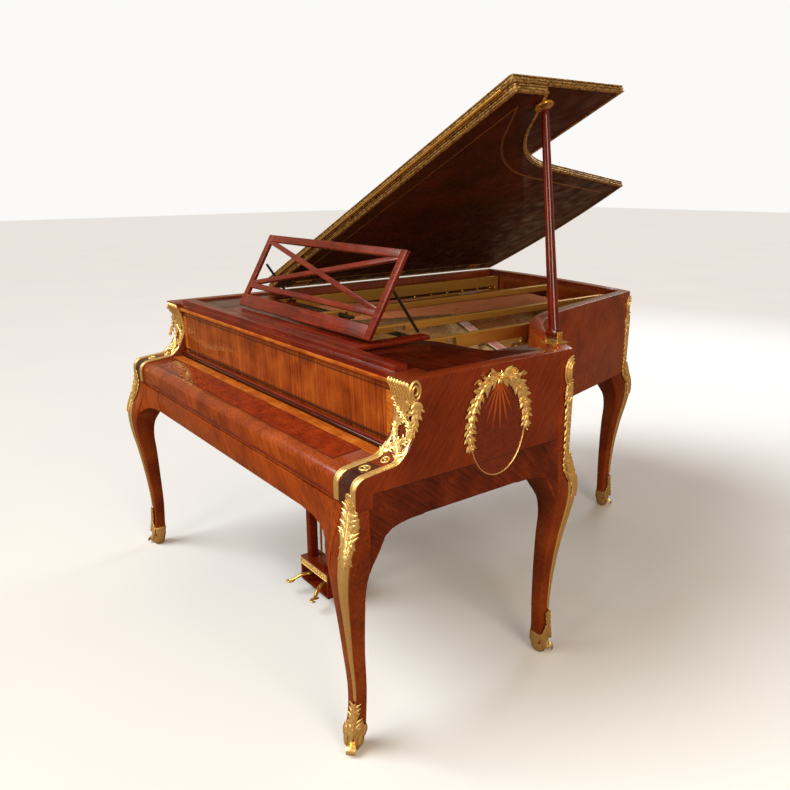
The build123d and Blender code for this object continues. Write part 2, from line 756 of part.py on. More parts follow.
NOTES = range(FIRST_NOTE, LAST_NOTE + 1)
KEY_Z = (KEY_TOP - KEY_HEIGHT, KEY_TOP)
SHARP_FRONT, SHARP_BACK, SHARP_RISE = 100, 192, 11


def stick_span(note, trim):
    """The lowest and highest x of a key's stick, drawn in by trim at each side."""
    start, width, _ = key_stick(note)
    return start + trim, start + width - trim


WIDE_Y = (back(KEY_FRONT), back(KEY_FRONT + FRONT_LENGTH))
STICK_Y = (WIDE_Y[1], back(KEY_BACK))
white_boxes, black_boxes = [], []
for note in NOTES:
    if note % 12 in SHARP_PITCHES:
        cap_y, cap_z = (back(SHARP_FRONT), back(SHARP_BACK)), (KEY_TOP, KEY_TOP + SHARP_RISE)
        stick_y = (back(SHARP_FRONT), back(KEY_BACK))
        black_boxes.append(loose_block(stick_span(note, KEY_GAP / 2), stick_y, KEY_Z))
        black_boxes.append(loose_block(stick_span(note, 1.8), cap_y, cap_z))
    else:
        edge = key_stick(note)[2]
        wide_x = (edge + KEY_GAP / 2, edge + KEY_PITCH - KEY_GAP / 2)
        white_boxes.append(loose_block(wide_x, WIDE_Y, KEY_Z))
        white_boxes.append(loose_block(stick_span(note, KEY_GAP / 2), STICK_Y, KEY_Z))

with BuildPart() as white_keys:
    add(white_boxes)
save("white_keys", white_keys.part)

with BuildPart() as black_keys:
    add(black_boxes)
save("black_keys", black_keys.part)

with BuildPart() as key_frame:
    block((-KEYS_HALF, KEYS_HALF), (back(KEY_FRONT), back(KEY_BACK)), (641, 652))
    block((-KEYS_HALF, KEYS_HALF), (back(KEY_PIVOT - 8), back(KEY_PIVOT + 8)), (652, KEY_Z[0] - 1))
save("key_frame", key_frame.part)

# ---- action: a hammer under each string, lifted by its key, and a damper over it ----
HAMMER_PIVOT = (404, 770)
HAMMER_AT, HAMMER_TOP, SHANK = 520, 818, 5
SHANK_Z = (HAMMER_PIVOT[1] - SHANK / 2, HAMMER_PIVOT[1] + SHANK / 2)
SHANK_Y = (back(HAMMER_PIVOT[0]), back(HAMMER_AT + 8))
HEAD_Y = (back(HAMMER_AT - 9), back(HAMMER_AT + 9))
hammer_boxes = []
for note in NOTES:
    middle = sum(stick_span(note, 0)) / 2
    hammer_boxes.append(loose_block((middle - SHANK / 2, middle + SHANK / 2), SHANK_Y, SHANK_Z))
    hammer_boxes.append(loose_block((middle - 4.5, middle + 4.5), HEAD_Y, (SHANK_Z[1], HAMMER_TOP)))

with BuildPart() as hammers:
    add(hammer_boxes)
save("hammers", hammers.part)

with BuildPart() as action_rail:
    block((-KEYS_HALF, KEYS_HALF), (back(384), back(400)), (758, 782))
    block((-KEYS_HALF, KEYS_HALF), (back(434), back(446)), (735, 757))
    for x in (-KEYS_HALF - 13, -KEYS_HALF / 3, KEYS_HALF / 3, KEYS_HALF + 1):
        block((x, x + 12), (back(434), back(446)), (641, 735))
    for x in (-KEYS_HALF - 13, KEYS_HALF + 1):
        block((x, x + 12), (back(384), back(446)), (735, 782))
save("action_rail", action_rail.part)

DAMPED = 68  # notes from the bottom that have a damper
DAMPER_Y, DAMPER_HEIGHT = (back(600), back(624)), 10
damper_boxes = []
for note in NOTES[:DAMPED]:
    x = stick_span(note, 2)
    foot = STRING_Z + (20 if x[0] < -200 else 4)
    damper_boxes.append(loose_block(x, DAMPER_Y, (foot, foot + DAMPER_HEIGHT)))

with BuildPart() as dampers:
    add(damper_boxes)
save("dampers", dampers.part)

# ---- pedals ----
BOX_HALF, BOX_DEPTH, BOX_Z, BOX_WALL = 88, (290, 362), (34, 122), 9
BOX_MOUTH_TOP = 92
PEDAL_HINGE = (304, 68)
PEDAL_WIDTH, ROD_AT = 16, 348
FRIEZE_Z = (96, 118)


def box_x(offset_x):
    """The x of a point this far from the pedal box's own middle."""
    return PEDAL_BOX_X + offset_x


with BuildPart() as pedal_box:
    block((box_x(-BOX_HALF), box_x(BOX_HALF)), (back(BOX_DEPTH[0]), back(BOX_DEPTH[1])), BOX_Z)
    inner_y = (back(BOX_DEPTH[0]) - 1, back(BOX_DEPTH[1] - BOX_WALL))
    with Locations((box_x(0), sum(inner_y) / 2, (BOX_Z[0] + BOX_WALL + BOX_MOUTH_TOP) / 2)):
        inner_height = BOX_MOUTH_TOP - BOX_Z[0] - BOX_WALL
        Box(2 * (BOX_HALF - BOX_WALL), inner_y[1] - inner_y[0], inner_height, mode=Mode.SUBTRACT)
    for side in PEDAL_X:
        with Locations((box_x(side), back(ROD_AT), BOX_Z[1])):
            Cylinder(5, 80, mode=Mode.SUBTRACT)
save("pedal_box", pedal_box.part)

with BuildPart() as pedal_frieze:
    frieze_y = (back(BOX_DEPTH[0] - 4), back(BOX_DEPTH[0]))
    block((box_x(-BOX_HALF + 4), box_x(BOX_HALF - 4)), frieze_y, FRIEZE_Z)
save("pedal_frieze", pedal_frieze.part)

with BuildPart() as lyre_posts:
    for side in (-66, 66):
        with Locations((box_x(side), back(326), (BOX_Z[1] + CASE_FOOT) / 2)):
            Box(26, 30, CASE_FOOT - BOX_Z[1])
save("lyre_posts", lyre_posts.part)

for name, side in zip(("left", "right"), PEDAL_X):
    out = 1 if side > 0 else -1
    with BuildPart() as pedal:
        path = [
            (box_x(side), back(ROD_AT + 3), 70),
            (box_x(side), back(PEDAL_HINGE[0] - 6), 70),
            (box_x(side + out * 14), back(272), 66),
            (box_x(side + out * 38), back(240), 44),
            (box_x(side + out * 46), back(226), 42),
        ]
        widths = (14, 15, 17, 24, 16)
        for place, width in zip(path, widths):
            with BuildSketch(Plane(origin=place, x_dir=(1, 0, 0), z_dir=(0, -1, 0))):
                Rectangle(width, 9)
        loft(ruled=True)
    save(f"pedal_{name}", pedal.part)
    with BuildPart() as rod:
        with Locations((box_x(side), back(ROD_AT), (76 + CASE_FOOT - 12) / 2)):
            Cylinder(3.5, CASE_FOOT - 12 - 76)
    save(f"pedal_rod_{name}", rod.part)
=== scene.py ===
"""A full-size grand piano in a veneered Louis XV case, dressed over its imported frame."""
import json
import logging
from contextlib import contextmanager
from dataclasses import dataclass
from enum import Enum
from math import atan2, cos, pi, radians, sin
from typing import Callable, Iterator, Sequence

import bmesh
import bpy
from mathutils.geometry import intersect_line_line_2d
from mathutils import Matrix, Vector


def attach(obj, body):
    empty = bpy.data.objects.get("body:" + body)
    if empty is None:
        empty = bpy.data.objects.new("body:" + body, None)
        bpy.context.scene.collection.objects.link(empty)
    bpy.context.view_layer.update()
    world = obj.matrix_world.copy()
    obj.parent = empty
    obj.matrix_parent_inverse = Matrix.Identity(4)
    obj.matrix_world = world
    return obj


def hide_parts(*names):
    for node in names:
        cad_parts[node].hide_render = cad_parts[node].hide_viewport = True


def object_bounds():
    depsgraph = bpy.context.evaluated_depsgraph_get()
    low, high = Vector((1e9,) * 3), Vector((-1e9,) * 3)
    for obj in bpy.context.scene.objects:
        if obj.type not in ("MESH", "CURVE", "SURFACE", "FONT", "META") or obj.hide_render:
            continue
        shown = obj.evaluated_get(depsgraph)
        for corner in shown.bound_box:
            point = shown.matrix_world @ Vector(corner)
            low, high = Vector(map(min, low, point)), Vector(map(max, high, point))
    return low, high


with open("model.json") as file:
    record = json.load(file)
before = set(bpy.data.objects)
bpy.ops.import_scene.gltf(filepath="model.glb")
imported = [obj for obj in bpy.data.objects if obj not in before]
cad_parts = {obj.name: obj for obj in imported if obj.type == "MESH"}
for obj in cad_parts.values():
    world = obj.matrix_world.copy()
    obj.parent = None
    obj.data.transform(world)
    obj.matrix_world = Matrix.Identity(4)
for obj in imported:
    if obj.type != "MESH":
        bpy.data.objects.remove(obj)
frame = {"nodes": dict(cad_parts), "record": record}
CAD_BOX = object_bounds()

log = logging.getLogger("piano")

Row = Sequence[float]
MM = 0.001
FRONT = -900  # y of the fallboard's front face, in millimetres
HALF_WIDTH = 740
CASE_TOP = 932
ARM = 90
LID_ANGLE = radians(24.9)
LID_X = Vector((cos(LID_ANGLE), 0, sin(LID_ANGLE)))
LID_UP = Vector((-sin(LID_ANGLE), 0, cos(LID_ANGLE)))
LID_FRAME = Matrix(
    (
        (LID_X.x, 0, LID_UP.x, -HALF_WIDTH * MM),
        (0, 1, 0, 0),
        (LID_X.z, 0, LID_UP.z, (CASE_TOP + 6) * MM),
        (0, 0, 0, 1),
    )
)


def back(depth: float) -> float:
    """The y, in millimetres, of a point this far behind the fallboard's front face."""
    return FRONT + depth


def at(x: float, y: float, z: float) -> Vector:
    """A point given in millimetres, in Blender's metres."""
    return Vector((x, y, z)) * MM


class Side(Enum):
    """A hand of the piano, as the sign of x."""

    BASS = -1
    TREBLE = 1


# ---- finishes ----


def linear(hex_colour: str) -> tuple[float, float, float, float]:
    """Turn an sRGB hex colour into the linear values that a shader takes.

    Args:
        hex_colour: six hex digits after a hash.

    Returns:
        Red, green, blue and a full alpha.
    """
    shares = [int(hex_colour[i : i + 2], 16) / 255 for i in (1, 3, 5)]
    red, green, blue = (s / 12.92 if s <= 0.04045 else ((s + 0.055) / 1.055) ** 2.4 for s in shares)
    return red, green, blue, 1.0


def add_node(
    tree: bpy.types.NodeTree, kind: str, inputs: dict | None = None, **settings: object
) -> bpy.types.Node:
    """Add one shader node, with its settings, its values and the links into it.

    Args:
        tree: the material's node tree.
        kind: the node's type, without the leading ShaderNode.
        inputs: socket name or number to a value, or to the socket that feeds it.
        settings: the node's own properties.

    Returns:
        The new node.
    """
    made = tree.nodes.new("ShaderNode" + kind)
    for name, value in settings.items():
        setattr(made, name, value)
    for name, value in (inputs or {}).items():
        if isinstance(value, bpy.types.NodeSocket):
            tree.links.new(value, made.inputs[name])
        else:
            made.inputs[name].default_value = value
    return made


def add_ramp(
    tree: bpy.types.NodeTree, factor: bpy.types.NodeSocket, stops: Sequence[tuple[float, str]]
) -> bpy.types.NodeSocket:
    """Colour a factor through a ramp.

    Args:
        tree: the material's node tree.
        factor: the socket that runs from 0 to 1.
        stops: each stop's place and hex colour.

    Returns:
        The ramp's colour.
    """
    ramp = add_node(tree, "ValToRGB", {0: factor})
    elements = ramp.color_ramp.elements
    while len(elements) < len(stops):
        elements.new(0.5)
    for element, (place, colour) in zip(elements, stops):
        element.position, element.color = place, linear(colour)
    return ramp.outputs[0]


def new_material(name: str) -> tuple[bpy.types.Material, bpy.types.NodeTree, bpy.types.Node]:
    """Make an empty node material.

    Args:
        name: the finish's common name.

    Returns:
        The material, its node tree and its output node.
    """
    material = bpy.data.materials.new(name)
    material.use_nodes = True
    material.node_tree.nodes.clear()
    return material, material.node_tree, add_node(material.node_tree, "OutputMaterial")


@dataclass(frozen=True)
class Veneer:
    """French polished wood: grain stripes, fine pores and broad figure under a hard clear gloss."""

    name: str
    dark: str
    middle: str
    light: str
    turn: tuple[float, float, float] = (0, 0, 0)  # degrees that bring the grain onto local Z
    stripe: float = 7.0  # mm between neighbouring stripes of the grain
    run: float = 14.0  # how many times longer than wide a stripe is
    figure: float = 90.0  # mm across one cloud of the broad figure
    wander: float = 0.25
    fold: tuple[float, float, float] | None = None  # mm: the point that a chevron folds about
    leaf: float = 0.0  # mm between neighbouring leaves of veneer, 0 for one sheet
    roughness: float = 0.2
    gloss: float = 0.25

    def build(self) -> bpy.types.Material:
        """Make the wood's material."""
        material, tree, output = new_material(self.name)
        place = add_node(tree, "TexCoord").outputs["Object"]
        if self.fold:
            centred = add_node(tree, "VectorMath", {0: place, 1: at(*self.fold)}, operation="SUBTRACT")
            place = add_node(tree, "VectorMath", {0: centred.outputs[0]}, operation="ABSOLUTE").outputs[0]
        turned = add_node(tree, "Mapping", {0: place, 2: tuple(radians(t) for t in self.turn)}).outputs[0]
        if self.leaf:
            parts = add_node(tree, "SeparateXYZ", {0: turned}).outputs
            folded = add_node(tree, "Math", {0: parts[0], 1: self.leaf * MM}, operation="PINGPONG").outputs[0]
            turned = add_node(tree, "CombineXYZ", {0: folded, 1: parts[1], 2: parts[2]}).outputs[0]
        cloud = add_node(tree, "TexNoise", {0: turned, 2: 1 / (self.figure * MM), 3: 3.0}).outputs[0]
        sway = add_node(
            tree, "Math", {0: cloud, 1: self.wander * self.stripe * MM * 12}, operation="MULTIPLY"
        )
        moved = add_node(tree, "VectorMath", {0: turned, 1: sway.outputs[0]}, operation="ADD").outputs[0]
        across = 1 / (self.stripe * MM)
        squeezed = add_node(tree, "Mapping", {0: moved, 3: (across, across, across / self.run)}).outputs[0]
        grain = add_node(tree, "TexNoise", {0: squeezed, 2: 1.0, 3: 4.0, 4: 0.6}).outputs[0]
        fine = add_node(tree, "Mapping", {0: moved, 3: (across * 7, across * 7, across / 4)}).outputs[0]
        pores = add_node(tree, "TexNoise", {0: fine, 2: 1.0, 3: 2.0}).outputs[0]
        blend = add_node(tree, "Math", {0: grain, 1: cloud}, operation="ADD").outputs[0]
        share = add_node(tree, "MapRange", {0: blend, 1: 0.72, 2: 1.28}).outputs[0]
        colour = add_ramp(tree, share, ((0.0, self.dark), (0.5, self.middle), (1.0, self.light)))
        pore_share = add_node(tree, "MapRange", {0: pores, 1: 0.3, 2: 0.62, 3: 0.62, 4: 1.0}).outputs[0]
        pored = add_node(tree, "VectorMath", {0: colour, 3: pore_share}, operation="SCALE").outputs[0]
        haze = add_node(tree, "TexNoise", {0: turned, 2: 22.0, 3: 4.0}).outputs[0]
        rough = add_node(
            tree, "MapRange", {0: haze, 1: 0.3, 2: 0.7, 3: self.roughness * 0.7, 4: self.roughness * 1.6}
        ).outputs[0]
        relief = add_node(tree, "Bump", {0: 0.04, 1: 0.0006, "Height": pores}).outputs[0]
        shader = add_node(
            tree,
            "BsdfPrincipled",
            {"Base Color": pored, "Roughness": rough, "Normal": relief, "Coat Weight": self.gloss, "Coat Roughness": 0.06,
             "Specular IOR Level": 0.3},
        )
        tree.links.new(shader.outputs[0], output.inputs[0])
        return material


@dataclass(frozen=True)
class Metal:
    """Cast or polished metal with a chased surface and patina clouds, with painted shade in its chase marks
    and hollows and painted highlight on its ridges.
    """

    name: str
    bright: str
    dull: str
    roughness: float = 0.28
    chasing: float = 3.0  # mm across one tool mark
    depth: float = 0.35  # mm
    patina: float = 14.0  # mm across one cloud of patina
    weave: float = 0.0  # mm between the diamonds of a chased ground, 0 for none

    def build(self) -> bpy.types.Material:
        """Make the metal's material."""
        material, tree, output = new_material(self.name)
        place = add_node(tree, "TexCoord").outputs["Object"]
        cloud = add_node(tree, "TexNoise", {0: place, 2: 1 / (self.patina * MM), 3: 4.0}).outputs[0]
        marks = add_node(
            tree, "TexVoronoi", {0: place, 2: 1 / (self.chasing * MM)}, feature="SMOOTH_F1"
        ).outputs[0]
        height = marks
        if self.weave:
            cells = add_node(
                tree, "TexVoronoi", {0: place, 2: 1 / (self.weave * MM)}, feature="F1", distance="MANHATTAN"
            ).outputs[0]
            height = add_node(tree, "Math", {0: marks, 1: cells}, operation="ADD").outputs[0]
        painted_mark_shade = -0.35 if self.weave else -0.15  # painted shade: the chase marks' relief darkens the colour, more on a chased ground
        # the chase marks' painted shade, plus the patina cloud's own tone
        mixed = add_node(tree, "Math", {0: height, 1: painted_mark_shade, 2: cloud}, operation="MULTIPLY_ADD")
        # painted shade in concave hollows and painted highlight on convex ridges, from the mesh's pointiness
        hollow = add_node(tree, "NewGeometry").outputs["Pointiness"]
        painted_hollow_shade_and_ridge_highlight = add_node(tree, "MapRange", {0: hollow, 1: 0.46, 2: 0.53, 3: -0.25, 4: 0.25}).outputs[0]
        patina_and_painted_relief = add_node(tree, "Math", {0: mixed.outputs[0], 1: painted_hollow_shade_and_ridge_highlight}, operation="ADD").outputs[0]
        share = add_node(tree, "MapRange", {0: patina_and_painted_relief, 1: 0.1, 2: 0.55}).outputs[0]
        colour = add_ramp(tree, share, ((0.0, self.dull), (0.65, self.bright), (1.0, self.bright)))
        rough = add_node(
            tree, "MapRange", {0: cloud, 1: 0.3, 2: 0.7, 3: self.roughness * 1.5, 4: self.roughness * 0.8}
        ).outputs[0]
        relief = add_node(tree, "Bump", {0: 0.5, 1: self.depth * MM, "Height": height}).outputs[0]
        shader = add_node(
            tree, "BsdfPrincipled",
            {"Base Color": colour, "Roughness": rough, "Normal": relief, "Metallic": 0.78}
        )
        tree.links.new(shader.outputs[0], output.inputs[0])
        return material


@dataclass(frozen=True)
class Plain:
    """Paint, felt, ivory or polished black: one colour with small noise in tone and surface."""

    name: str
    colour: str
    shade: str
    roughness: float
    grain: float  # mm across one grain of the noise
    depth: float = 0.05  # mm
    metallic: float = 0.0
    sheen: float = 0.0
    gloss: float = 0.0

    def build(self) -> bpy.types.Material:
        """Make the finish's material."""
        material, tree, output = new_material(self.name)
        place = add_node(tree, "TexCoord").outputs["Object"]
        grain = add_node(tree, "TexNoise", {0: place, 2: 1 / (self.grain * MM), 3: 5.0}).outputs[0]
        share = add_node(tree, "MapRange", {0: grain, 1: 0.35, 2: 0.65}).outputs[0]
        colour = add_ramp(tree, share, ((0.0, self.shade), (1.0, self.colour)))
        rough = add_node(
            tree, "MapRange", {0: grain, 1: 0.3, 2: 0.7, 3: self.roughness * 1.2, 4: self.roughness * 0.85}
        ).outputs[0]
        relief = add_node(tree, "Bump", {0: 0.4, 1: self.depth * MM, "Height": grain}).outputs[0]
        shader = add_node(
            tree,
            "BsdfPrincipled",
            {
                "Base Color": colour,
                "Roughness": rough,
                "Normal": relief,
                "Metallic": self.metallic,
                "Sheen Weight": self.sheen,
                "Coat Weight": self.gloss,
            },
        )
        tree.links.new(shader.outputs[0], output.inputs[0])
        return material


@dataclass(frozen=True)
class Sunburst:
    """Marquetry rays of satinwood fading into the kingwood ground, fanned from the oval's top."""

    name: str
    centre: tuple[float, float]  # mm: the y and z that the rays leave
    rays: int = 30
    reach: float = 150.0  # mm

    def build(self) -> bpy.types.Material:
        """Make the inlay's material."""
        material, tree, output = new_material(self.name)
        place = add_node(tree, "TexCoord").outputs["Object"]
        parts = add_node(tree, "SeparateXYZ", {0: place}).outputs
        side = add_node(tree, "Math", {0: parts[1], 1: self.centre[0] * MM}, operation="SUBTRACT").outputs[0]
        drop = add_node(tree, "Math", {0: self.centre[1] * MM, 1: parts[2]}, operation="SUBTRACT").outputs[0]
        angle = add_node(tree, "Math", {0: side, 1: drop}, operation="ARCTAN2").outputs[0]
        turns = add_node(tree, "Math", {0: angle, 1: float(self.rays)}, operation="MULTIPLY").outputs[0]
        wave = add_node(tree, "Math", {0: turns}, operation="SINE").outputs[0]
        far = add_node(
            tree, "VectorMath", {0: add_node(tree, "CombineXYZ", {0: side, 1: drop}).outputs[0]},
            operation="LENGTH"
        )
        wide = add_node(tree, "Math", {0: angle, 1: angle}, operation="MULTIPLY").outputs[0]
        spent = add_node(
            tree, "Math", {0: wide, 1: 0.16, 2: far.outputs["Value"]}, operation="MULTIPLY_ADD"
        ).outputs[0]
        fade = add_node(tree, "MapRange", {0: spent, 1: 0.02, 2: self.reach * MM, 3: 1.1, 4: -0.7}).outputs[0]
        lit = add_node(tree, "Math", {0: wave, 1: fade}, operation="ADD").outputs[0]
        sharp = add_node(tree, "MapRange", {0: lit, 1: 0.35, 2: 0.75}).outputs[0]
        tint = add_node(tree, "MapRange", {0: far.outputs["Value"], 1: 0.02, 2: self.reach * MM}).outputs[0]
        ray_colour = add_ramp(tree, tint, ((0.0, "#c9641d"), (1.0, "#7a2a0c")))
        grain = add_node(tree, "TexNoise", {0: place, 2: 160.0, 3: 4.0}).outputs[0]
        ground = add_ramp(tree, grain, ((0.3, "#5a1a08"), (0.7, "#7c2a0e")))
        colour = add_node(tree, "Mix", {0: sharp, 6: ground, 7: ray_colour}, data_type="RGBA").outputs[2]
        rough = add_node(tree, "MapRange", {0: grain, 3: 0.12, 4: 0.26}).outputs[0]
        shader = add_node(
            tree, "BsdfPrincipled", {"Base Color": colour, "Roughness": rough, "Coat Weight": 0.7}
        )
        tree.links.new(shader.outputs[0], output.inputs[0])
        return material


class Finish(Enum):
    """Every finish on the piano."""

    CHEEK = Veneer("kingwood veneer, flank", "#6a2710", "#853516", "#99451f", (38, 0, 0), 4.0, 18, 190, 0.12)
    CHEEK_EDGE = Veneer(
        "kingwood crossband, flank", "#451509", "#66240e", "#823716", (-48, 0, 0), 6.0, 18, 80
    )
    BENT = Veneer("kingwood veneer, bentside", "#6c2710", "#953a16", "#ad4c20", (24, 12, 0), 6.0, 16, 120)
    LEG = Veneer("kingwood veneer, leg", "#6f2a10", "#8f3f16", "#a6521f", (34, 30, 0), 5.0, 16, 110, 0.12)
    SKIRT = Veneer(
        "kingwood veneer, skirt", "#752a0a", "#9c4410", "#b9591c", (0, 42, 0), 5.0, 16, 110, 0.15, leaf=230
    )
    NAME = Veneer(
        "striped kingwood, name board", "#6c2808", "#a04a14", "#bd6824", (0, 3, 0), 5.5, 60, 90, 0.03
    )
    FALL = Veneer(
        "plum mottled mahogany, fallboard", "#661903", "#8a2905", "#a53c0c", (10, 64, 20), 10.0, 5, 42, 0.7
    )
    BAND = Veneer("tulipwood crossband", "#99440c", "#c66a1c", "#e08c34", (0, 90, 38), 6.0, 12, 70, 0.15)
    MAHOGANY = Veneer(
        "solid mahogany", "#561305", "#761f07", "#8e2d0c", (0, 90, 0), 6.0, 20, 110, roughness=0.24
    )
    DARK = Veneer("dark mahogany", "#2a0b03", "#431305", "#5a1d09", (0, 90, 0), 7.0, 22, 140)
    # figured mahogany with painted shade: coloured much darker than the case's mahogany for the shade under
    # the raised lid
    LID_UNDER = Veneer(
        "figured mahogany, lid", "#2e0e07", "#48160b", "#601f11", (0, 62, 35), 12.0, 10, 150, 0.4,
        roughness=0.42, gloss=0.0
    )
    POSTS = Veneer(
        "turned mahogany", "#3c0803", "#641004", "#7c1a08", (0, 0, 0), 6.0, 22, 120, roughness=0.14, gloss=0.4
    )
    PLUM = Veneer("purpleheart", "#2b100d", "#43201a", "#563026", (60, 0, 0), 5.0, 18, 80)
    SPRUCE = Veneer(
        "spruce soundboard", "#a9733a", "#c08b4c", "#d2a565", (0, 90, 30), 3.0, 60, 200, 0.05, gloss=0.2
    )
    MAPLE = Veneer(
        "maple", "#a98555", "#c4a06c", "#d6b682", (0, 90, 0), 4.0, 30, 160, roughness=0.4, gloss=0.0
    )
    STRING_LINE = Plain("boxwood stringing", "#b07a3a", "#8a5524", 0.3, 6.0, gloss=0.5)
    EBONY_LINE = Plain("ebony stringing", "#1a0d08", "#0f0705", 0.25, 6.0, gloss=0.5)
    GILT = Metal("mercury gilt bronze", "#fae096", "#7c5c1e")
    GILT_WORN = Metal("gilt bronze, matt chased ground", "#dcbc7a", "#755826", 0.42, 3.0, 0.8, 10.0, 9.0)
    BRASS = Metal("polished brass", "#e2b257", "#a67a32", 0.2, 9.0, 0.05, 40.0)
    STEEL = Metal("polished steel", "#c9c6be", "#8f8c86", 0.22, 9.0, 0.05, 60.0)
    COPPER = Metal("copper winding", "#c98a66", "#86503a", 0.34, 2.0, 0.25, 50.0)
    IRON = Plain("bronze powder lacquer on cast iron", "#dcb25c", "#bd9040", 0.42, 1.2, 0.12, 0.75)
    RED_FELT = Plain("red felt", "#a3161a", "#7c0e12", 0.95, 0.6, 0.3, sheen=0.5)
    GREY_FELT = Plain("white felt", "#c9c2b4", "#a39c8e", 0.95, 0.6, 0.3, sheen=0.5)
    IVORY = Plain("ivory", "#e9e2cf", "#ddd3b8", 0.22, 25.0, gloss=0.4)
    EBONY = Plain("ebony", "#17120f", "#0b0807", 0.28, 4.0, gloss=0.4)


class Palette:
    """Builds each finish's material once and hands it out."""

    def __init__(self) -> None:
        """Start with nothing mixed."""
        self.mixed: dict[object, bpy.types.Material] = {}

    def get(self, finish: object) -> bpy.types.Material:
        """The material of a finish, built the first time it is asked for.

        Args:
            finish: a Finish, or one of the finish dataclasses itself.

        Returns:
            The material.
        """
        if finish not in self.mixed:
            recipe = finish.value if isinstance(finish, Finish) else finish
            self.mixed[finish] = recipe.build()
        return self.mixed[finish]


PALETTE = Palette()


# ---- the bench: how pieces are made ----


def only(piece: bpy.types.Object) -> None:
    """Select one object and nothing else."""
    bpy.ops.object.select_all(action="DESELECT")
    piece.select_set(True)
    bpy.context.view_layer.objects.active = piece


@contextmanager
def bench(piece: bpy.types.Object) -> Iterator[None]:
    """Hold a piece in edit mode with nothing selected, and put it down again after."""
    only(piece)
    bpy.ops.object.mode_set(mode="EDIT")
    bpy.ops.mesh.select_all(action="DESELECT")
    yield
    bpy.ops.object.mode_set(mode="OBJECT")


def pick(piece: bpy.types.Object, kind: str, test: Callable[[object], bool]) -> None:
    """Select in edit mode the parts of a mesh that pass a test.

    Args:
        piece: the object in edit mode.
        kind: VERT, EDGE or FACE.
        test: says whether one part is wanted.
    """
    bpy.ops.mesh.select_mode(type=kind)
    bpy.ops.mesh.select_all(action="DESELECT")
    mesh = bmesh.from_edit_mesh(piece.data)
    for part in {"VERT": mesh.verts, "EDGE": mesh.edges, "FACE": mesh.faces}[kind]:
        if test(part):
            part.select_set(True)
    mesh.select_flush(True)
    bmesh.update_edit_mesh(piece.data)


def apply_modifier(piece: bpy.types.Object, kind: str, **settings: object) -> None:
    """Add one modifier and apply it.

    Args:
        piece: the object.
        kind: the modifier's type.
        settings: its properties.
    """
    only(piece)
    modifier = piece.modifiers.new(kind.title(), kind)
    for name, value in settings.items():
        setattr(modifier, name, value)
    bpy.ops.object.modifier_apply(modifier=modifier.name)


def face_out(piece: bpy.types.Object) -> None:
    """Merge doubled points and turn every face outwards."""
    with bench(piece):
        bpy.ops.mesh.select_all(action="SELECT")
        bpy.ops.mesh.remove_doubles(threshold=1e-6)
        bpy.ops.mesh.normals_make_consistent(inside=False)


def loft(name: str, rings: Sequence[Sequence[Vector]], closed: bool = False) -> bpy.types.Object:
    """Skin a run of rings, which all have the same number of points.

    Args:
        name: the new piece's name.
        rings: the cross-sections in order, in metres.
        closed: whether the last ring joins the first, else both ends are capped.

    Returns:
        The piece.
    """
    count, total = len(rings[0]), len(rings)
    faces = []
    for i in range(total if closed else total - 1):
        near, far = i * count, (i + 1) % total * count
        faces += [(near + j, near + (j + 1) % count, far + (j + 1) % count, far + j) for j in range(count)]
    if not closed:
        faces += [tuple(range(count))[::-1], tuple(range((total - 1) * count, total * count))]
    mesh = bpy.data.meshes.new(name)
    mesh.from_pydata([p for ring in rings for p in ring], [], faces)
    piece = bpy.data.objects.new(name, mesh)
    bpy.context.collection.objects.link(piece)
    face_out(piece)
    return piece


def sweep(
    name: str,
    path: Sequence[Vector],
    profile: Sequence[Row],
    up: Vector | Sequence[Vector],
    closed: bool = False,
    scales: Sequence[float] | None = None,
) -> bpy.types.Object:
    """Carry a profile along a path, mitred at its corners.

    Args:
        name: the new piece's name.
        path: points in metres.
        profile: pairs of millimetres, across the path to its right and up.
        up: the direction of the profile's second number, one for all or one for each point.
        closed: whether the path closes on itself.
        scales: the profile's size at each point.

    Returns:
        The piece.
    """
    rings, total = [], len(path)
    for i, point in enumerate(path):
        before = path[i - 1] if closed or i else point
        after = path[(i + 1) % total] if closed or i < total - 1 else point
        come = (point - before).normalized() if before is not point else (after - point).normalized()
        go = (after - point).normalized() if after is not point else come
        along = (come + go).normalized()
        rise = (up if isinstance(up, Vector) else up[i]).normalized()
        across = along.cross(rise).normalized()
        rise = across.cross(along).normalized()
        mitre = 1 / max(0.55, along.dot(come))
        size = (scales[i] if scales else 1.0) * MM
        rings.append([point + across * (a * size * mitre) + rise * (r * size) for a, r in profile])
    return loft(name, rings, closed)


def circle(radius: float, count: int = 8) -> list[tuple[float, float]]:
    """A round profile."""
    return [(radius * cos(2 * pi * i / count), radius * sin(2 * pi * i / count)) for i in range(count)]


def half_round(width: float, height: float, count: int = 6) -> list[tuple[float, float]]:
    """A moulding's profile that stands on its path: flat below, round above."""
    arc = [(width / 2 * cos(pi * i / count), height * sin(pi * i / count)) for i in range(count + 1)]
    return [(width / 2, -1.0)] + arc + [(-width / 2, -1.0)]


def smooth(points: Sequence[Vector], steps: int) -> list[Vector]:
    """Run a curve through points, with this many steps between neighbours."""
    run = []
    for i in range(len(points) - 1):
        a, b = points[max(i - 1, 0)], points[i]
        c, d = points[i + 1], points[min(i + 2, len(points) - 1)]
        for k in range(steps):
            t = k / steps
            run.append(
                0.5 * (
                    (2 * b) + (c - a) * t + (
                        2 * a - 5 * b + 4 * c - d
                    ) * t**2 + (3 * b - a - 3 * c + d) * t**3
                )
            )
    return run + [points[-1]]


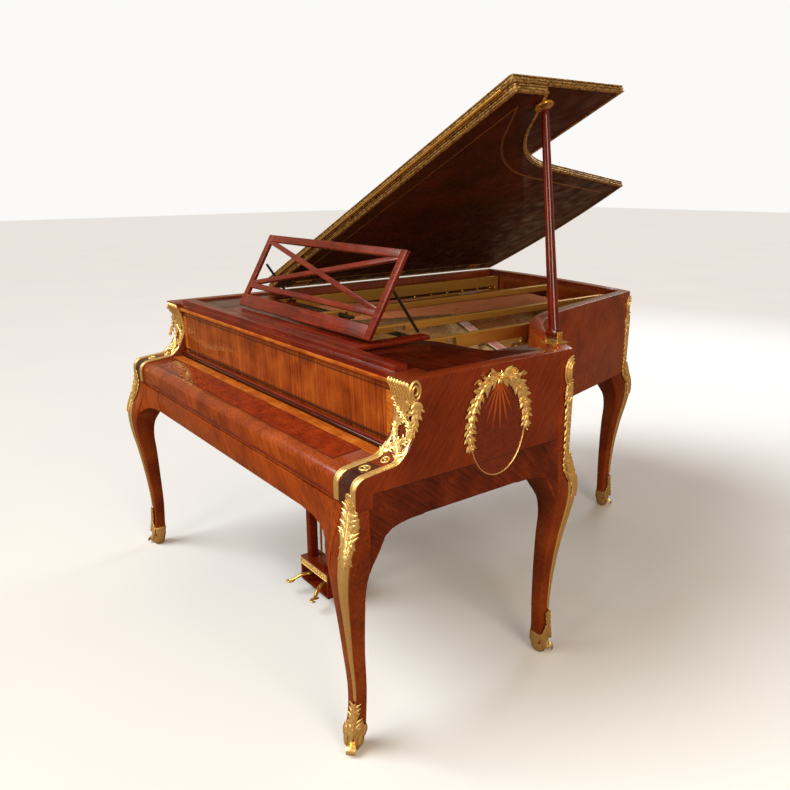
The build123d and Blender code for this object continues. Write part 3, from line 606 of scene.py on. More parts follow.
def even(path: Sequence[Vector], gap: float) -> list[tuple[Vector, Vector]]:
    """Points about gap millimetres apart along a path, each with its direction."""
    lengths = [(b - a).length for a, b in zip(path, path[1:])]
    count = max(2, round(sum(lengths) / (gap * MM)))
    step, places, travelled, i = sum(lengths) / count, [], 0.0, 0
    for k in range(count + 1):
        want = min(k * step, sum(lengths) - 1e-9)
        while i < len(lengths) - 1 and travelled + lengths[i] < want:
            travelled += lengths[i]
            i += 1
        direction = (path[i + 1] - path[i]).normalized()
        places.append((path[i] + direction * (want - travelled), direction))
    return places


def set_place(origin: Vector, along: Vector, normal: Vector, size: float = 1.0) -> Matrix:
    """The matrix that lays a master, made along +Y and facing +Z, at a place.

    Args:
        origin: where its foot goes.
        along: where it points.
        normal: where it faces.
        size: its scale.

    Returns:
        The matrix.
    """
    y = along.normalized()
    x = y.cross(normal).normalized()
    z = x.cross(y)
    turn = Matrix((x, y, z)).transposed().to_4x4()
    return Matrix.Translation(origin) @ turn @ Matrix.Scale(size, 4)


def stamp(name: str, master: bpy.types.Object, places: Sequence[Matrix]) -> bpy.types.Object:
    """Copy a master to many places as one piece; the master stays for the next use."""
    gathered = bmesh.new()
    for place in places:
        copy = master.data.copy()
        copy.transform(place)
        gathered.from_mesh(copy)
        bpy.data.meshes.remove(copy)
    mesh = bpy.data.meshes.new(name)
    gathered.to_mesh(mesh)
    gathered.free()
    piece = bpy.data.objects.new(name, mesh)
    bpy.context.collection.objects.link(piece)
    face_out(piece)
    return piece


def merge(name: str, pieces: Sequence[bpy.types.Object]) -> bpy.types.Object:
    """Join several pieces into one under a new name."""
    only(pieces[0])
    for piece in pieces:
        piece.select_set(True)
    bpy.ops.object.join()
    joined = bpy.context.view_layer.objects.active
    joined.name = joined.data.name = name
    return joined


def discard(*masters: bpy.types.Object) -> None:
    """Throw away masters that have been copied."""
    for master in masters:
        bpy.data.objects.remove(master)


BODY_OF = {node: body for body, nodes in frame["record"]["behaviour"]["bodies"].items() for node in nodes}


def finish_piece(
    piece: bpy.types.Object, finish: object, node: str, hides: Sequence[str] = (), crease: float = 35
) -> bpy.types.Object:
    """Give a piece its material and the body that it moves with.

    Args:
        piece: the object.
        finish: what it is finished in.
        node: the CAD node whose body it takes.
        hides: the CAD nodes that it stands for.
        crease: degrees past which an edge stays sharp.

    Returns:
        The piece.
    """
    for vertex in piece.data.vertices:
        vertex.co = [min(max(value, low), high) for value, low, high in zip(vertex.co, *CAD_BOX)]
    piece.data.materials.clear()
    piece.data.materials.append(PALETTE.get(finish))
    only(piece)
    bpy.ops.object.shade_smooth_by_angle(angle=radians(crease))
    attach(piece, BODY_OF[node])
    if hides:
        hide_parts(*hides)
    log.info("%s: %d faces", piece.name, len(piece.data.polygons))
    return piece


def refine(node: str, finish: object, edge: float = 1.2, segments: int = 2) -> bpy.types.Object:
    """Stand a smoother copy in for a CAD node: joined faces, and every sharp edge eased.

    Args:
        node: the CAD node.
        finish: what it is finished in.
        edge: how far the edges are rounded, in millimetres.
        segments: how finely.

    Returns:
        The copy.
    """
    mesh = frame["nodes"][node].data.copy()
    piece = bpy.data.objects.new(node + "_finished", mesh)
    bpy.context.collection.objects.link(piece)
    only(piece)
    bpy.ops.mesh.customdata_custom_splitnormals_clear()
    with bench(piece):
        bpy.ops.mesh.select_all(action="SELECT")
        bpy.ops.mesh.remove_doubles(threshold=1e-5)
        bpy.ops.mesh.dissolve_limited(angle_limit=radians(0.6))
    if edge:
        apply_modifier(
            piece, "BEVEL", width=edge * MM, segments=segments, limit_method="ANGLE", angle_limit=radians(32)
        )
    return finish_piece(piece, finish, node, (node,))


def dress(node: str, finish: object) -> None:
    """Give a CAD node that stays its material."""
    piece = frame["nodes"][node]
    if not piece.data.materials:
        piece.data.materials.append(PALETTE.get(finish))
    for holder in piece.material_slots:
        holder.link = "OBJECT"
        holder.material = PALETTE.get(finish)


def prism(name: str, outline: Sequence[Vector], reach: Vector) -> bpy.types.Object:
    """Extrude a flat outline by a vector."""
    mesh = bpy.data.meshes.new(name)
    mesh.from_pydata(list(outline), [], [tuple(range(len(outline)))])
    piece = bpy.data.objects.new(name, mesh)
    bpy.context.collection.objects.link(piece)
    with bench(piece):
        bpy.ops.mesh.select_all(action="SELECT")
        bpy.ops.mesh.extrude_region_move(TRANSFORM_OT_translate={"value": reach})
    face_out(piece)
    return piece


# ---- ornament masters ----


def untangle(line: Sequence[tuple[float, float]]) -> list[tuple[float, float]]:
    """Cut the loop that an inset line makes where the plan is narrower than its insets.

    Args:
        line: the closed line's points.

    Returns:
        The line that is left, still closed.
    """
    half = len(line) // 2
    points = [Vector(p) for p in (*line[half:], *line[:half])]
    i = 0
    while i < len(points) - 3:
        for j in range(min(len(points) - 2, i + 40), i + 1, -1):
            hit = intersect_line_line_2d(points[i], points[i + 1], points[j], points[j + 1])
            if hit:
                points[i + 1 : j + 1] = [hit]
                break
        i += 1
    return [(p.x, p.y) for p in points]


@dataclass
class Leaf:
    """A cast leaf, made flat along +Y: rows of a grid widened, lifted and folded, then thickened."""

    length: float
    widths: Row  # half width of each row, foot to tip
    lifts: Row  # how high each row stands
    fold: float = 0.35  # how far the midrib stands over the edges, as a share of the half width
    columns: int = 2
    thick: float = 1.6
    rounded: bool = False
    rake: float = 0.0  # how far the lobes sweep to the tip, as a share of their distance out
    flute: float = 0.0  # mm that every other column stands up

    def build(self, name: str) -> bpy.types.Object:
        """Model the leaf at the origin.

        Args:
            name: the master's name.

        Returns:
            The master.
        """
        rows = len(self.widths)
        bpy.ops.object.select_all(action="DESELECT")
        bpy.ops.mesh.primitive_grid_add(x_subdivisions=self.columns, y_subdivisions=rows - 1, size=2)
        leaf = bpy.context.active_object
        leaf.name = name
        with bench(leaf):
            for row, (width, lift) in enumerate(zip(self.widths, self.lifts)):
                level = -1 + 2 * row / (rows - 1)
                pick(leaf, "VERT", lambda v, level=level: abs(v.co.y - level) < 1e-3 and abs(v.co.z) < 1e-6)
                bpy.ops.transform.resize(value=(max(width, 0.05) * MM, 1, 1))
                bpy.ops.transform.translate(value=(0, 0, lift * MM + 1e-5))
        for vertex in leaf.data.vertices:
            row = round((vertex.co.y + 1) / 2 * (rows - 1))
            column = round((vertex.co.x / max(self.widths[row], 0.05) / MM + 1) / 2 * self.columns)
            away = abs(vertex.co.x)
            vertex.co.y = (vertex.co.y + 1) / 2 * self.length * MM + away * self.rake * (row % 2)
            vertex.co.z += self.flute * MM * (column % 2) - away * self.fold
        apply_modifier(leaf, "SOLIDIFY", thickness=self.thick * MM, offset=-1)
        if self.rounded:
            apply_modifier(leaf, "SUBSURF", levels=1, render_levels=1)
        return leaf


class Masters:
    """The few castings that the mounts repeat."""

    def __init__(self) -> None:
        """Model each master once."""
        self.laurel = Leaf(30, (1.5, 5.0, 6.5, 4.5, 0.3), (0, 2.2, 3.6, 3.8, 2.0), 0.5).build("laurel_master")
        self.lobe = Leaf(
            44, (4.5, 9, 11, 9.5, 6, 0.6), (0, 3, 4.5, 4.5, 3.2, 4.8), 0.4, 2, 2.2, True, flute=1.5
        ).build("lobe_master")
        self.bead = self._bead()

    def _bead(self) -> bpy.types.Object:
        """A berry with a flattened foot."""
        bpy.ops.object.select_all(action="DESELECT")
        bpy.ops.mesh.primitive_ico_sphere_add(subdivisions=2, radius=3 * MM)
        bead = bpy.context.active_object
        bead.name = "bead_master"
        with bench(bead):
            pick(bead, "VERT", lambda v: v.co.z < -1.2 * MM)
            bpy.ops.transform.resize(value=(1, 1, 0.3))
        return bead

    def clear(self) -> None:
        """Throw the masters away once every mount has its copies."""
        discard(self.laurel, self.lobe, self.bead)


def garland(
    name: str, leaf: bpy.types.Object, path: Sequence[Vector], normals: Callable[[Vector], Vector],
    gap: float, spread: float = 0.5, size: float = 1.0, lift: float = 0.4,
) -> bpy.types.Object:
    """Lay leaves in pairs along a path, with one down its middle, pointing to its far end.

    Args:
        name: the piece's name.
        leaf: the master.
        path: the stem's line, in metres.
        normals: the surface's outward direction at a point.
        gap: millimetres between pairs.
        spread: the angle of each side leaf off the stem, in radians.
        size: the leaves' scale at the foot; they shrink a little to the tip.
        lift: the tilt of the side leaves off the surface, in radians.

    Returns:
        The piece.
    """
    places = []
    spots = even(path, gap)
    for number, (point, along) in enumerate(spots[:-1]):
        normal = normals(point)
        across = along.cross(normal).normalized()
        scale = size * (1 - 0.35 * number / len(spots))
        for turn in (-spread * 1.5, -spread * 0.6, spread * 0.6, spread * 1.5):
            wobble = 0.12 * ((number * 7 + int(turn * 10)) % 3 - 1)
            heading = along * cos(turn + wobble) + across * sin(turn + wobble)
            faced = (normal + across * sin(turn) * lift).normalized()
            places.append(set_place(point + normal * 0.001, heading, faced, scale))
        places.append(set_place(point + normal * 0.0025, along, normal, scale * 0.9))
    return stamp(name, leaf, places)


# ---- the woodwork ----

# height, side, corner's step outwards along x and along y, in millimetres
LEG = (
    (0, 46, -28, 14),
    (40, 42, -30, 8),
    (90, 36, -30, -1),
    (170, 36, -30, -4),
    (280, 42, -28, 6),
    (385, 52, -18, 20),
    (450, 60, -8, 31),
    (500, 72, 0, 36),
    (535, 88, 4, 35),
    (565, 98, 5, 29),
    (605, 100, 3, 14),
    (655, 100, 0, 0),
)


@dataclass(frozen=True)
class Corner:
    """A corner of the case: its place and the outward sign of each axis there."""

    name: str
    x: float
    y: float
    out_x: int
    out_y: int

    def step(self, height: float, column: int) -> float:
        """A leg's side (1) or outward step (2, 3) at a height, on a smooth curve through its stations."""
        rows = LEG
        for i in range(len(rows) - 1):
            if rows[i][0] <= height <= rows[i + 1][0]:
                before, after = rows[max(i - 1, 0)], rows[min(i + 2, len(rows) - 1)]
                low, high = rows[i], rows[i + 1]
                span = high[0] - low[0]
                t = (height - low[0]) / span
                slope_low = (high[column] - before[column]) / (high[0] - before[0]) * span
                slope_high = (after[column] - low[column]) / (after[0] - low[0]) * span
                return (
                    (2 * t**3 - 3 * t**2 + 1) * low[column]
                    + (t**3 - 2 * t**2 + t) * slope_low
                    + (3 * t**2 - 2 * t**3) * high[column]
                    + (t**3 - t**2) * slope_high
                )
        return 0.0 if column > 1 else rows[-1][1]

    def arris(self, height: float, proud: float = 0.0) -> Vector:
        """The leg's outer edge, or the case's above it, at a height."""
        step_x, step_y = self.step(height, 2) + proud, self.step(height, 3) + proud
        return at(self.x + self.out_x * step_x, self.y + self.out_y * step_y, height)

    def out(self) -> Vector:
        """The direction that the corner points to."""
        return Vector((self.out_x, self.out_y, 0)).normalized()

    def wrap(self, across: float, height: float, proud: float) -> Vector:
        """A point on the two faces beside the arris: across is along y's face if it is positive."""
        edge = self.arris(height)
        share = min(1.0, abs(across) / 12)
        if across > 0:
            face, inward = Vector((self.out_x, 0, 0)), Vector((0, -self.out_y, 0))
        else:
            face, inward = Vector((0, self.out_y, 0)), Vector((-self.out_x, 0, 0))
        normal = (face * share + self.out() * (1.0 - share * 0.7)).normalized()
        return edge + inward * (abs(across) * MM) + normal * (proud * MM)


CORNERS = {
    "front_left": Corner("front_left", -HALF_WIDTH, back(0), -1, -1),
    "front_right": Corner("front_right", HALF_WIDTH, back(0), 1, -1),
    "treble": Corner("treble", HALF_WIDTH, back(687), 1, 1),
    "tail_right": Corner("tail_right", 185, back(1679), 1, 1),
    "tail_left": Corner("tail_left", -HALF_WIDTH, back(1800), -1, 1),
}


@dataclass
class CabrioleLegs:
    """The five legs, and the shaped brackets that run from them into the case."""

    hollow: float = 0.8  # mm that each face is scooped
    ease: float = 4.0  # mm that each arris is rounded
    hem: float = 38.0  # mm: the wood ends inside the shoe
    rings: int = 60

    def ring(self, corner: Corner, height: float) -> list[Vector]:
        """One section: a square with eased corners and scooped faces."""
        side = corner.step(height, 1)
        centre_x = corner.x + corner.out_x * (corner.step(height, 2) - side / 2)
        centre_y = corner.y + corner.out_y * (corner.step(height, 3) - side / 2)
        half, points = side / 2, []
        for quarter in range(4):
            turn = quarter * pi / 2
            for dx, dy in (
                (half, -half + self.ease),
                (half - self.hollow, 0),
                (half, half - self.ease),
                (half - self.ease * 0.3, half - self.ease * 0.3),
            ):
                x, y = dx * cos(turn) - dy * sin(turn), dx * sin(turn) + dy * cos(turn)
                points.append(at(centre_x + x, centre_y + y, height))
        return points

    def bracket(self, name: str, corner: Corner, along_x: bool, feet: Sequence[Row]) -> bpy.types.Object:
        """The piece that carries the leg's swell into the skirt beside it.

        Args:
            name: the piece's name.
            corner: the leg's corner.
            along_x: whether the skirt runs along x, else along y.
            feet: distance from the corner and height of the lower edge, leg first.

        Returns:
            The piece.
        """
        rings = []
        for distance, foot in feet:
            fade = max(0.0, 1 - max(0.0, distance - 70) / (feet[-1][0] - 70)) ** 2
            levels = [foot + (654 - foot) * k / 8 for k in range(9)]
            ring = []
            for level in levels:
                proud = corner.step(level, 3 if along_x else 2) * fade + 0.6
                ring.append(self.place(corner, along_x, distance, proud, level))
            for level in reversed(levels):
                ring.append(self.place(corner, along_x, distance, -23, level))
            rings.append(ring)
        piece = loft(name, rings)
        return finish_piece(piece, Finish.SKIRT if along_x else Finish.CHEEK_EDGE, "front_skirt")

    @staticmethod
    def place(corner: Corner, along_x: bool, distance: float, proud: float, level: float) -> Vector:
        """A point this far from the corner along its skirt, and this proud of the case's face."""
        if along_x:
            return at(corner.x - corner.out_x * distance, corner.y + corner.out_y * proud, level)
        return at(corner.x + corner.out_x * proud, corner.y - corner.out_y * distance, level)

    def build(self) -> None:
        """Model the legs and brackets."""
        front_feet = (
            (60, 505), (72, 514), (81, 536), (98, 553), (121, 568), (150, 578), (190, 584), (240, 585)
        )
        side_feet = (
            (34, 500), (50, 545), (62, 566), (76, 582), (94, 593), (120, 599), (150, 602), (190, 602.5)
        )
        for corner in CORNERS.values():
            node = f"leg_{corner.name}"
            heights = [self.hem + (655 - self.hem) * i / self.rings for i in range(self.rings + 1)]
            leg = loft(node + "_carved", [self.ring(corner, height) for height in heights])
            finish_piece(leg, Finish.LEG, node, (node,))
            if corner.name.startswith("front"):
                self.bracket(f"bracket_{corner.name}_skirt", corner, True, front_feet)
            if corner.name in ("front_left", "front_right", "treble"):
                self.bracket(f"bracket_{corner.name}_side", corner, False, side_feet)
            if corner.name in ("tail_right", "tail_left"):
                self.bracket(f"bracket_{corner.name}_tail", corner, True, side_feet)
            if corner.name == "tail_left":
                self.bracket("bracket_tail_left_side", corner, False, side_feet)


@dataclass
class Case:
    """The sides, the boards round the keyboard, and the veneer bands let into them."""

    band: float = 34.0  # mm: the crossband along the flank's lower edge
    line: float = 1.4  # mm: a stringing's width
    proud: float = 0.35  # mm that inlaid sheets stand over the ground

    def build(self) -> None:
        """Model the case."""
        for node, finish, edge in (
            ("bass_side", Finish.CHEEK, 2.5),
            ("treble_cheek", Finish.CHEEK, 2.5),
            ("bentside", Finish.BENT, 2.0),
            ("tail_panel", Finish.BENT, 2.0),
            ("inner_rim", Finish.DARK, 1.5),
            ("bottom_beams", Finish.DARK, 2.0),
            ("keybed", Finish.DARK, 2.0),
            ("front_skirt", Finish.SKIRT, 1.5),
            ("key_slip", Finish.DARK, 3.0),
            ("key_blocks", Finish.DARK, 3.0),
            ("name_board", Finish.NAME, 1.0),
            ("name_board_cap", Finish.MAHOGANY, 2.5),
            ("candle_boards", Finish.DARK, 3.0),
            ("desk_shelf", Finish.MAHOGANY, 3.0),
            ("desk_stays", Finish.EBONY, 1.5),
        ):
            refine(node, finish, edge, 3)
        self.flank_bands()
        self.name_board_mouldings()

    def flank_bands(self) -> None:
        """A crossband and a fine line along the lower edge of each flank."""
        for side, name, end in ((Side.BASS, "bass_side", 1700), (Side.TREBLE, "treble_cheek", 645)):
            x = side.value * (HALF_WIDTH + self.proud)
            outline = [(45, 604), (45, 655 + self.band), (end, 655 + self.band), (end, 604)]
            wall = [at(x - side.value * 1.5, back(d), z) for d, z in outline]
            sheet = prism(f"{name}_crossband", wall, at(side.value * 1.5, 0, 0))
            finish_piece(sheet, Finish.CHEEK_EDGE, name)
            path = [at(x, back(d), 655 + self.band) for d in (45, end)]
            line = sweep(f"{name}_line", path, half_round(self.line, 0.5), Vector((side.value, 0, 0)))
            finish_piece(line, Finish.EBONY_LINE, name)

    def name_board_mouldings(self) -> None:
        """The light band over the stripes, the dark side bands and the bead at their foot."""
        half = HALF_WIDTH - ARM - 2
        front = back(170)
        for name, low, high, finish, proud in (
                        ("name_board_low_line", 733, 736, Finish.EBONY_LINE, 0.6),
            ("name_board_top_line", 885.5, 888, Finish.EBONY_LINE, 0.6),
        ):
            path = [at(-half, front, (low + high) / 2), at(half, front, (low + high) / 2)]
            strip = sweep(name, path, half_round(high - low, proud + 0.8), Vector((0, -1, 0)))
            finish_piece(strip, finish, "name_board")
        cap = [at(-half, back(157), 911.5), at(half, back(157), 911.5)]
        band = sweep("name_board_cap_band", cap, half_round(11, 1.4), Vector((0, -1, 0)))
        finish_piece(band, Finish.BAND, "name_board_cap")
        for side in Side:
            x = sorted((side.value * half, side.value * (half - 26)))
            outline = [at(x[0], front, 737), at(x[1], front, 737), at(x[1], front, 885), at(x[0], front, 885)]
            post = prism(f"name_board_end_{side.name.lower()}", outline, at(0, -0.8, 0))
            finish_piece(post, Finish.BAND, "name_board")
        bead = [at(-half, back(160), 753), at(half, back(160), 753)]
        finish_piece(
            sweep("fallboard_bead", bead, circle(4.5, 12), Vector((0, 0, 1))), Finish.MAHOGANY, "name_board"
        )
        cove = [at(-half, back(167), 765), at(half, back(167), 765)]
        finish_piece(
            sweep("name_board_cove", cove, circle(3, 10), Vector((0, 0, 1))), Finish.DARK, "name_board"
        )


@dataclass
class Fallboard:
    """The lid over the keys: mottled field, crossbanded border and the fine lines between."""

    half: float = HALF_WIDTH - ARM - 2
    inset: float = 62.0
    top: tuple[float, float, float, float] = (34, 729.4, 150, 738.8)  # mm: depth and height, front then rear

    def surface(self, depth: float) -> float:
        """The height of the board's flat top at a depth."""
        d0, z0, d1, z1 = self.top
        return z0 + (z1 - z0) * (depth - d0) / (d1 - d0)

    def sheet(self, name: str, x: Row, depths: Row, proud: float, finish: Finish) -> None:
        """Lay a thin sheet of veneer on the top, between two x and two depths."""
        corners = [(x[0], depths[0]), (x[1], depths[0]), (x[1], depths[1]), (x[0], depths[1])]
        outline = [at(a, back(d), self.surface(d) - 0.5) for a, d in corners]
        finish_piece(prism(name, outline, at(0, 0, 0.5 + proud)), finish, "fallboard")

    def build(self) -> None:
        """Model the fallboard."""
        refine("fallboard", Finish.SKIRT, 1.2, 3)
        refine("fallboard_hinge", Finish.DARK, 0.5)
        self.sheet("fallboard_rear_band", (-self.half, self.half), (118, 151), 0.25, Finish.BAND)
        self.sheet(
            "fallboard_field_line", (-self.half + 60, self.half - 60), (37, 118.5), 0.35, Finish.EBONY_LINE
        )
        self.sheet("fallboard_field", (-self.half + 63, self.half - 63), (39, 116), 0.5, Finish.FALL)
        self.scroll_inlay()
        path = [at(-self.half, back(1.6), 668), at(self.half, back(1.6), 668)]
        finish_piece(
            sweep("fallboard_lip_bead", path, half_round(7, 2.2), Vector((0, -1, 0))), Finish.MAHOGANY,
            "fallboard"
        )

    def scroll_inlay(self) -> None:
        """The curved line of boxwood leaves at the bass end."""
        turns = [(-470, 108), (-500, 112), (-535, 104), (-556, 88), (-552, 70), (-535, 58), (-500, 50)]
        stem = smooth([at(x, back(d), self.surface(d) + 0.6) for x, d in turns], 8)
        up = Vector((0, 0, 1))
        line = sweep("fallboard_scroll", stem, half_round(1.8, 0.5), up)
        places = [
            set_place(point, along + Vector((0.4 * (-1) ** i, 0.3, 0)), up, 0.45)
            for i, (point, along) in enumerate(even(stem, 11))
        ]
        leaf = Leaf(24, (1, 3.5, 3.5, 0.2), (0, 0.3, 0.3, 0), 0.0, thick=0.4).build("inlay_leaf")
        leaves = stamp("fallboard_scroll_leaves", leaf, places)
        discard(leaf)
        finish_piece(merge("fallboard_scroll", [line, leaves]), Finish.STRING_LINE, "fallboard")


@dataclass
class MusicDesk:
    """The desk's stiles, rails and lattice, with their edges eased."""

    lean: float = radians(60)
    foot: tuple[float, float] = (281, 945)

    def build(self) -> None:
        """Model the desk."""
        for node in ("desk_stiles", "desk_rails", "desk_lattice"):
            refine(node, Finish.MAHOGANY, 1.8, 3)


@dataclass
class Lid:
    """The propped lid and its folded flap, edged with chased gilt mouldings."""

    lap: float = 6.0
    main_z: float = 3.0
    flap_foot: float = 25.0  # mm: the flap moulding's foot over the lid moulding's
    flap_line: float = 579.0
    flap_deep: float = 415.0

    def outline(self, inset: float) -> list[tuple[float, float]]:
        """The lid's plan from the treble end of the flap line round to the bass end.

        Args:
            inset: millimetres inside the case's plan; negative is outside it.

        Returns:
            x and y pairs in millimetres, in the case's own plan.
        """
        corner, vertex, tail = (HALF_WIDTH, 687.0), (384.0, 898.0), (185.0, 1679.0)
        first = Vector((corner[0] - vertex[0], corner[1] - vertex[1])).normalized()
        second = Vector((tail[0] - vertex[0], tail[1] - vertex[1])).normalized()
        half_turn = first.angle(second) / 2
        radius = 560.0
        centre = Vector(vertex) + (first + second).normalized() * (radius / sin(half_turn))
        begin = Vector(vertex) + first * (radius / sin(half_turn) * cos(half_turn))
        finish = Vector(vertex) + second * (radius / sin(half_turn) * cos(half_turn))
        points = [Vector((HALF_WIDTH, self.flap_line + (0 if inset <= 0 else inset)))]
        points += [Vector((HALF_WIDTH, 640.0)), Vector(corner)]
        start_angle = atan2(begin.y - centre.y, begin.x - centre.x)
        turn = atan2(finish.y - centre.y, finish.x - centre.x) - start_angle
        turn = (turn + pi) % (2 * pi) - pi
        bay = [
            centre + Vector((cos(start_angle + turn * k / 28), sin(start_angle + turn * k / 28))) * radius
            for k in range(29)
        ]
        points += [Vector(corner).lerp(begin, k / 4) for k in range(1, 4)] + bay
        points += [finish.lerp(Vector(tail), k / 14) for k in range(1, 15)]
        arc = [Vector(tail), Vector((-270, 1772)), Vector((-HALF_WIDTH, 1800))]
        for k in range(1, 25):
            t = k / 24
            points.append(
                arc[0] * (1 - t) * (1 - 2 * t) + arc[1] * 4 * t * (1 - t) + arc[2] * t * (2 * t - 1)
            )
        points += [Vector((-HALF_WIDTH, 1800 - 60 * k)) for k in range(1, 20)]
        points.append(Vector((-HALF_WIDTH, self.flap_line + (0 if inset <= 0 else inset))))
        shifted = []
        for i, point in enumerate(points):
            come = (point - points[i - 1]).normalized() if i else (points[1] - point).normalized()
            go = (points[i + 1] - point).normalized() if i < len(points) - 1 else come
            along = (come + go).normalized()
            mitre = 1 / max(0.5, along.dot(come))
            inward = Vector((-along.y, along.x)) * (inset * mitre)
            shifted.append((point.x + inward.x, back(point.y + inward.y)))
        return shifted

    def on_lid(self, x: float, y: float, z: float) -> Vector:
        """A point given in the lid's own leaning plane, with x as in the case's plan."""
        return LID_FRAME @ at(x + HALF_WIDTH, y, z)

    def moulding(self, name: str, run: Sequence[Row], foot: float, node: str, hides: Sequence[str]) -> None:
        """A gilt edge moulding: two round fillets with a chased hollow between."""
        profile = [(-6, 0.3), (0, 0), (3.8, 0.7), (5.4, 2.6), (4.6, 4.6), (3.0, 5.4), (4.2, 8), (4.8, 10.5),
                   (4.2, 13), (3.0, 15.6), (4.6, 16.4), (5.4, 18.4), (3.8, 20.3), (0, 21), (-6, 20.7)]
        dense = [self.on_lid(x, y, foot) for x, y in run]
        path = [dense[0]]
        for a, b in zip(dense, dense[1:]):
            count = max(1, round((b - a).length / (9 * MM)))
            path += [a.lerp(b, k / count) for k in range(1, count + 1)]
        strip = sweep(name, path, profile, LID_UP)
        finish_piece(strip, Finish.GILT_WORN, node, hides, 60)
        leaf = Leaf(13, (1.0, 3.2, 3.6, 0.5), (0, 1.6, 2.0, 0.4), 0.2, thick=1.2).build("edge_leaf")
        places = []
        for i, (point, along) in enumerate(even(path, 10)):
            outward = along.cross(LID_UP).normalized()
            middle = point + LID_UP * (10.5 * MM) + outward * (3.0 * MM)
            tilt = along * 0.9 + LID_UP * (0.9 if i % 2 else -0.9)
            places.append(set_place(middle - tilt.normalized() * 0.005, tilt, outward, 0.8))
        finish_piece(stamp(name + "_leaves", leaf, places), Finish.GILT, node)
        discard(leaf)

    def build(self) -> None:
        """Model the lid, its flap, edges, stringing and hinges."""
        refine("lid_main", Finish.LID_UNDER, 1.5)
        refine("lid_flap", Finish.LID_UNDER, 1.5)
        refine("lid_hinges", Finish.BRASS, 0.8)
        refine("flap_hinge", Finish.BRASS, 0.5)
        self.moulding("lid_edge", self.outline(-self.lap), 0, "lid_moulding", ("lid_moulding",))
        far = back(self.flap_line + self.flap_deep + self.lap)
        wide = HALF_WIDTH + self.lap
        start, near = -HALF_WIDTH + 1.0, back(self.flap_line + 1)
        run = [(wide, near), (wide, far), (start, far)]
        self.moulding("flap_edge", run, self.flap_foot, "flap_moulding", ("flap_moulding",))
        front = [(-HALF_WIDTH, back(self.flap_line) + 0.5), (HALF_WIDTH + 5, back(self.flap_line) + 0.5)]
        self.moulding("lid_front_edge", front, 0, "lid_moulding", ())
        self.moulding("flap_front_edge", front, self.flap_foot, "flap_moulding", ())
        self.stringing()

    def stringing(self) -> None:
        """Two fine lines under the lid, along its edges and rounded at its corners."""
        for inset in (62.0, 66.0):
            inner = untangle(self.outline(inset)[2:])
            path = [self.on_lid(x, y, self.main_z - 0.1) for x, y in inner]
            line = sweep(f"lid_stringing_{int(inset)}", path, half_round(1.6, 0.5), -LID_UP, closed=True)
            finish_piece(line, Finish.STRING_LINE, "lid_main")


@dataclass
class Prop:
    """The lid's turned prop, its brass cup and foot bracket."""

    def build(self) -> None:
        """Model the prop."""
        refine("prop_stick", Finish.POSTS, 0.6)
        refine("prop_bracket", Finish.BRASS, 0.8)
        refine("prop_cup", Finish.BRASS, 2.5, 3)


# ---- the gilt mounts ----


def wrapped(
    leaf: bpy.types.Object, corner: Corner, foot: float, proud: float = 0.0, flip: bool = False,
    shift: float = 0.0
) -> None:
    """Bend a flat leaf, made along +Y, round a leg's arris.

    Args:
        leaf: the leaf, at the origin.
        corner: the leg's corner.
        foot: the height of the leaf's foot, in millimetres.
        proud: how far it is raised off the wood.
        flip: whether it hangs down from its foot.
        shift: how far its midrib lies along the y face from the arris, at its tip.
    """
    longest = max(vertex.co.y for vertex in leaf.data.vertices) / MM
    for vertex in leaf.data.vertices:
        across, along, lift = (value / MM for value in vertex.co)
        across -= shift * (0.55 + 0.45 * along / longest * (-1 if flip else 1))
        height = foot - along if flip else foot + along
        vertex.co = corner.wrap(across, height, lift + proud)
    face_out(leaf)


def spray(
    name: str, masters: Masters, reach: float, gap: float, spread: float, size: float
) -> bpy.types.Object:
    """A flat spray of lobes along +Y with a stem down its middle, to be bent round an arris.

    Args:
        name: the piece's name.
        masters: the castings to copy.
        reach: the stem's length, in millimetres.
        gap: millimetres between pairs.
        spread: how far the lobes turn off the stem, in radians.
        size: the lobes' scale at the foot.

    Returns:
        The spray, at the origin.
    """
    up = Vector((0, 0, 1))
    line = [Vector((0, reach * k / 12, 1.5)) * MM for k in range(13)]
    lobes = garland(f"{name}_lobes", masters.lobe, line, lambda p: up, gap, spread, size, 0.3)
    stem = sweep(f"{name}_stem", line, circle(3.2), up, scales=[1.2 - 0.6 * k / 12 for k in range(13)])
    return merge(name, [lobes, stem])


